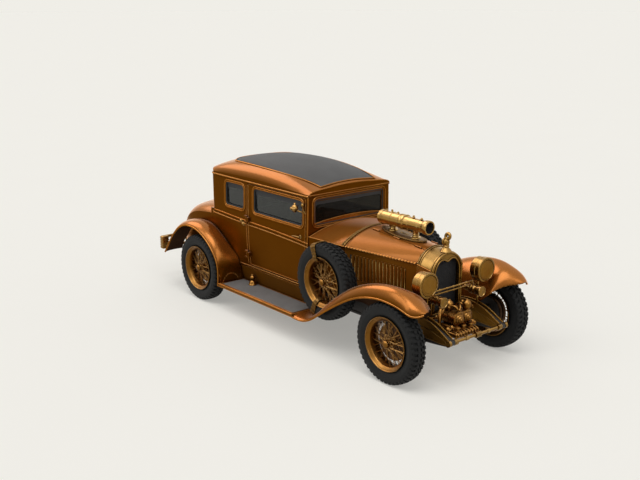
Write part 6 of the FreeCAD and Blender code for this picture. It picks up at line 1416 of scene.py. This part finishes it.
def make_scope():
    """Ringed brass tube on two turned feet, with a dark dished bore."""
    body = [(0, 0), (2, 30), (8, 46), (14, 60), (18, 71), (26, 77), *ribs((60, 200, 320), 73.5, 79, 10, 7),
            (350, 73.5), (356, 82.6), (366, 80.5), (384, 80.5), (394, 82.6), (400, 70),
            *ribs((460, 600), 66.5, 70, 8, 5), (660, 66.5), (672, 71), (680, 76), (700, 77), (722, 77),
            (733, 74), (735, 68), (733, 61), (722, 58.5)]
    foot = [(0, 56), (10, 52), (16, 36), (30, 30), (36, 36), (44, 36), (50, 30), (75, 33), (100, 40)]
    rear = (SCOPE_REAR, 0, SCOPE_Z)
    shapes = [lathe(body, rear, AHEAD, 56)]
    for share in (0.27, 0.73):
        base = on_hood(SCOPE_REAR + SCOPE_LENGTH * share, 0, 0.010)
        inside = [(up, radius) for up, radius in foot if base[2] + up * MM < SCOPE_Z - 0.02]
        shapes.append(lathe(inside, base, UP, 28))
    for x, high in ((2.50, 16), (2.585, 26), (2.675, 16), (2.905, 18), (3.02, 12)):
        knob = [(0, 17), (6, 18), (10, 11), (high, 12), (high + 6, 9), (high + 9, 0)]
        shapes.append(lathe(knob, (x, 0, SCOPE_Z + 0.069), UP, 20))
    piece("scope_ringed", LIT_BRASS, shapes, ["hood_scope"])
    stud = [(616, 20), (634, 18), (642, 10), (644, 0)]
    bore = [(722, 58.5), (680, 56), (640, 48), (620, 30), (616, 0)]
    piece("scope_stud", BRASS, [lathe(stud, rear, AHEAD, 24)])
    piece("scope_bore", SEAL, [lathe(bore, rear, AHEAD, 40)])


def make_scope_plate():
    """Oval plate under the scope that follows the hood, embossed with rings of beads."""
    centre = SCOPE_REAR + SCOPE_LENGTH / 2
    rows = []
    for ring in np.linspace(0.02, 1.0, 30):
        row = []
        for step, (a, b) in enumerate(circle(96, ring)):
            bumps = 0.0028 * max(0, math.sin(math.tau * step / 4)) * max(0, math.sin(ring * math.pi * 5))
            lift = 0.0155 if ring < 0.985 else 0.006
            row.append(on_hood(centre + 0.318 * a, 0.107 * b, lift + bumps))
        rows.append(row)
    edge = [on_hood(centre + 0.314 * a, 0.105 * b, 0.014) for a, b in circle(72, 1)]
    shapes = [grid(rows, ring=True), rope(edge, 0.007, FINE_PITCH, closed=True)]
    piece("scope_plate_embossed", ROPE_BRASS, shapes)


def make_side_lamps():
    """Ball lamps with pointed bits on their stems, on the doors' front stiles."""
    centre, foot = Vector((1.752, -0.672, 1.465)), Vector((1.831, -0.6035, 1.425))
    upper = (1.838, -0.632, 1.506)
    lamp = [(-52, 0), (-50, 6), (-43, 10), (-38, 16), (-30, 28), (-16, 37), (-4, 39.5), (0, 43), (4, 39.5),
            (16, 37), (30, 28), (38, 16), (43, 12), (50, 14), (56, 10), (66, 0)]
    shapes = [lathe(lamp, centre, UP, 32)]
    for a, b in (circle(18, 1)[step] for step in (10, 13, 16)):
        shapes.append(lathe([(34, 16), (44, 14), (48, 9), (56, 8), (60, 0)], centre, (a, b, 0), 16))
    stem = [foot, foot + Vector((-0.01, -0.03, 0.004)), foot + Vector((-0.045, -0.058, 0.018)), centre]
    rose = [(0, 0), (0, 16), (5, 16), (10, 10), (14, 0)]
    shapes += [tube(spaced(stem, 14), 0.0072), lathe(rose, foot, RIGHT, 20),
               tube([foot + Vector((0, -0.008, 0)), upper], 0.005, 8), ball(upper, 0.020, 20),
               lathe([(17, 9), (26, 8), (30, 0)], upper, UP, 14)]
    on_both_sides("side_lamps_dressed", "door", BRASS, shapes, ["side_lamp"])


make_radiator_trim()
make_filler_cap()
make_radiator_weave()
make_headlamps()
make_lamp_bar()
make_blower()
make_front_tube()
make_horn_blades()
make_scope()
make_scope_plate()
make_side_lamps()


# Rear of the car

def make_fender_webs():
    """Webs that close the front foot of each rear fender against the valance."""
    corners = (-0.600, 0.336), (-0.512, 0.336), (-0.560, 0.545), (-0.600, 0.600)
    outline = [(0.472, y, z) for y, z in corners]
    piece("fender_webs", COPPER, both([slab(outline, (0.050, 0, 0))]))


def make_bumper_ends():
    """Ribbed brass ends that join the two bars of the rear bumper."""
    low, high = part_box("rear_bumper")
    rear, bottom, top = low.x - REAR_AXLE + 0.002, low.z + 0.002, high.z - 0.002
    shapes = [block((rear, 0.002 - high.y, bottom), (rear + 0.070, 0.100 - high.y, top), 0.014, 3)]
    for z in np.linspace(bottom + 0.022, top - 0.022, 5):
        near, far = (rear - 0.003, -high.y, z - 0.009), (rear + 0.073, 0.104 - high.y, z + 0.009)
        shapes.append(block(near, far, 0.006))
    piece("bumper_ends", BRASS, both(shapes))


def make_corner_fillers():
    """Copper fillets that carry the deck's sides over the cabin's rounded rear corners."""
    places = np.linspace(CORNER_X - 0.004, CABIN_REAR + 0.002, 8)
    rows = []
    for z in np.linspace(BODY_BOTTOM + 0.004, 1.160, 24):
        y = 0.001 - side_half(z)
        rows.append([(x, y, z) for x in places])
        for x in places[::-1]:
            round_in = CORNER_RADIUS - math.sqrt(CORNER_RADIUS ** 2 - (CORNER_X - x) ** 2)
            rows[-1].append((x, y + 0.75 * round_in, z))
    piece("corner_fillers", COPPER, both([grid(rows, ring=True, caps=True)]))


def make_lid_lever():
    """Cross lever on a round rose at the foot of the deck lid."""
    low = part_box("deck_lid")[0]
    place, way = Vector((low.x - REAR_AXLE + 0.030, 0, low.z + 0.045)), Vector((-0.72, 0, 0.69))
    bar = place + way * 0.024
    rose = [(0, 0), (0, 20), (5, 20), (9, 11), (26, 9), (28, 0)]
    lever = [bar + Vector((0, y, 0)) for y in (-0.050, 0, 0.050)]
    piece("lid_lever", BRASS, [lathe(rose, place, way, 24), tube(lever, 0.008)], (), "rear_lid")


make_fender_webs()
make_bumper_ends()
make_corner_fillers()
make_lid_lever()


# Inside the cabin

FLUTES = 7
SEAT_LEAN = math.radians(14)


def pad(low, high, crown):
    """Stuffed pad with rounded sides and soft flutes between two corners."""
    size = [b - a for a, b in zip(low, high)]
    rows = []
    for u in np.linspace(0, 1, FLUTES * 12 + 1):
        rise_u = (1 - abs(2 * u - 1) ** 7) ** 0.45
        flute = abs(math.sin(math.pi * FLUTES * u)) ** 0.6
        upper, lower = [], []
        for v in np.linspace(0, 1, 29):
            rise_v = (1 - abs(2 * v - 1) ** 5) ** 0.5
            x = low[0] + size[0] * (0.5 + (v - 0.5) * (0.97 + 0.03 * rise_u))
            y = low[1] + size[1] * (0.5 + (u - 0.5) * (0.96 + 0.04 * rise_v))
            body = size[2] * rise_u * rise_v * (0.93 + 0.07 * flute)
            swell = crown * math.sin(math.pi * u) * math.sin(math.pi * v)
            upper.append((x, y, low[2] + body + swell))
            lower.append((x, y, low[2]))
        rows.append(upper + lower[::-1])
    return grid(rows, ring=True)


def piping(low, high, height):
    """Welt round the edge of a pad."""
    loop = [(x, y, height) for x, y in rounded_loop((low[:2], high[:2]), 0.0, 0.035)]
    return tube(loop, 0.005, 8, closed=True)


def make_seat():
    """Bench of two fluted cushions and two fluted backs over a sprung base."""
    low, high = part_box("seat")
    rear, front, bottom, top = low.x - REAR_AXLE, high.x - REAR_AXLE, low.z, high.z
    half = high.y
    base = block((rear + 0.10, -half + 0.01, bottom), (front - 0.02, half - 0.01, bottom + 0.075), 0.015, 3)
    piece("seat_base", LEATHER, [base], ["seat"])
    hinge = (rear + 0.155, 0, bottom + 0.200)
    tall = (top - bottom - 0.200) / math.cos(SEAT_LEAN) - 0.030
    for name, y_low, y_high in (("right", 0.006 - half, -0.004), ("left", 0.004, half - 0.006)):
        near, far = (rear + 0.150, y_low, bottom + 0.070), (front - 0.004, y_high, bottom + 0.215)
        cushion = [pad(near, far, 0.020), piping(near, far, bottom + 0.150)]
        piece(f"seat_cushion_{name}", LEATHER, cushion, sharp=60)
        near, far = (hinge[0], y_low, hinge[2] - 0.020), (hinge[0] + tall, y_high, hinge[2] + 0.100)
        back = [leaned(shape, SEAT_LEAN - math.pi / 2, hinge)
                for shape in (pad(near, far, 0.018), piping(near, far, hinge[2] + 0.050))]
        piece(f"seat_back_{name}", LEATHER, back, sharp=60)


def make_gauges():
    """Blank dials with brass bezels and needles, and small knobs, on the dashboard."""
    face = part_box("dashboard")[0].x - REAR_AXLE
    brass, dials = [], []
    for y, size in ((0.42, 36), (0.30, 50), (0.18, 36), (0.02, 42), (-0.10, 42)):
        centre = Vector((face, y, 1.168))
        bezel = [(0, size), (6, size + 3), (12, size), (13, size - 5), (9, size - 7)]
        dials.append(lathe([(7.5, size - 4), (8.5, size * 0.5), (9, 0)], centre, BACK, 32))
        way = Vector((0, math.sin(y * 9), math.cos(y * 9))) * (size * MM)
        start = centre + Vector((-0.011, 0, 0))
        brass += [lathe(bezel, centre, BACK, 40), tube([start - way * 0.2, start + way * 0.75], 0.0014, 6),
                  lathe([(9, 5), (13, 4), (14, 0)], centre, BACK, 12)]
    knob = [(0, 6), (14, 5), (16, 11), (24, 12), (30, 7), (31, 0)]
    brass += [lathe(knob, (face, y, 1.150), BACK, 18) for y in (-0.22, -0.28, -0.34, -0.40)]
    piece("gauge_bezels", BRASS, brass)
    piece("gauge_faces", SEAL, dials)


make_seat()
make_gauges()


# Light, floor and camera

GROUND_REACH = 400.0
GROUND_GLOW = 0.30
PALE = (1.0, 0.985, 0.925)
GLEAM = (1.0, 0.83, 0.76)


def heading(azimuth, height):
    """Direction by degrees round the car and above the ground."""
    turn, rise = math.radians(azimuth), math.radians(height)
    return Vector((math.sin(turn) * math.cos(rise), -math.cos(turn) * math.cos(rise), math.sin(rise)))


def plain_sight(tree):
    """1 for rays from the camera and for mirrored or refracted sight, 0 for the light itself."""
    path = node(tree, "ShaderNodeLightPath").outputs
    sight = math_node(tree, "MAXIMUM", path["Is Camera Ray"], path["Is Glossy Ray"])
    return math_node(tree, "MAXIMUM", sight, path["Is Transmission Ray"])


def make_floor():
    """Pale ground that keeps the car's soft shadow; behind it the same pale tone."""
    made, tree, shader = coat("floor_plain", "floor", Roughness=0.9, Specular_IOR_Level=0.0,
                              Emission_Color=PALE)
    clouds = effect(tree, CLOUDING, Broad=0.6, Fine=30.0)
    colour = mixed(tree, clouds["Mask"], (0.725, 0.70, 0.642), (0.72, 0.695, 0.637))
    put(tree, shader.inputs["Base Color"], colour)
    bumped(tree, shader, clouds["Fine"], 0.05, 0.001)
    glow = math_node(tree, "MULTIPLY", plain_sight(tree), GROUND_GLOW)
    put(tree, shader.inputs["Emission Strength"], glow)
    mesh = bpy.data.meshes.new("floor")
    corners = [(x * GROUND_REACH, y * GROUND_REACH, 0) for x, y in ((-1, -1), (1, -1), (1, 1), (-1, 1))]
    mesh.from_pydata(corners, [], [(0, 1, 2, 3)])
    mesh.materials.append(made)
    floor = bpy.data.objects.new("floor", mesh)
    bpy.context.scene.collection.objects.link(floor)


def make_world():
    """Even sky light, seen as the same pale tone as the ground."""
    world = bpy.data.worlds.new("studio")
    bpy.context.scene.world = world
    world.use_nodes = True
    tree = world.node_tree
    back = tree.nodes["Background"]
    put(tree, back.inputs["Color"], (0.92, 0.95, 1.0))
    back.inputs["Strength"].default_value = 0.37
    plain = node(tree, "ShaderNodeBackground", Color=(0.87, 0.855, 0.80))
    join = node(tree, "ShaderNodeMixShader")
    for index, value in enumerate((plain_sight(tree), back.outputs[0], plain.outputs[0])):
        put(tree, join.inputs[index], value)
    put(tree, tree.nodes["World Output"].inputs[0], join.outputs[0])


def add_sun(name, azimuth, height, strength, width, gleam=None):
    """Broad even lamp far away, placed by degrees in the sky; gleam tints one that shows only in polish."""
    light = bpy.data.lights.new(name, "SUN")
    light.energy = strength
    light.angle = math.radians(width)
    lamp = bpy.data.objects.new(name, light)
    bpy.context.scene.collection.objects.link(lamp)
    lamp.rotation_euler = heading(azimuth, height).to_track_quat("Z", "Y").to_euler()
    if gleam:
        light.color = gleam
        lamp.visible_diffuse = False


def add_camera():
    lens = bpy.data.cameras.new("camera")
    lens.lens = 50
    lens.sensor_width = 36
    eye = bpy.data.objects.new("camera", lens)
    bpy.context.scene.collection.objects.link(eye)
    eye.location = (9.2277 + REAR_AXLE, -6.5222, 3.6248)
    eye.rotation_euler = heading(50.297, 14.865).to_track_quat("Z", "Y").to_euler()
    bpy.context.scene.camera = eye


make_floor()
make_world()
add_sun("top_light", 20, 72, 0.95, 40)
add_sun("side_light", -25, 40, 0.45, 34)
add_sun("front_light", 80, 38, 0.36, 30)
add_sun("back_light", -86, 42, 0.80, 36, gleam=GLEAM)
add_camera()
bpy.context.scene.view_settings.view_transform = "Standard"
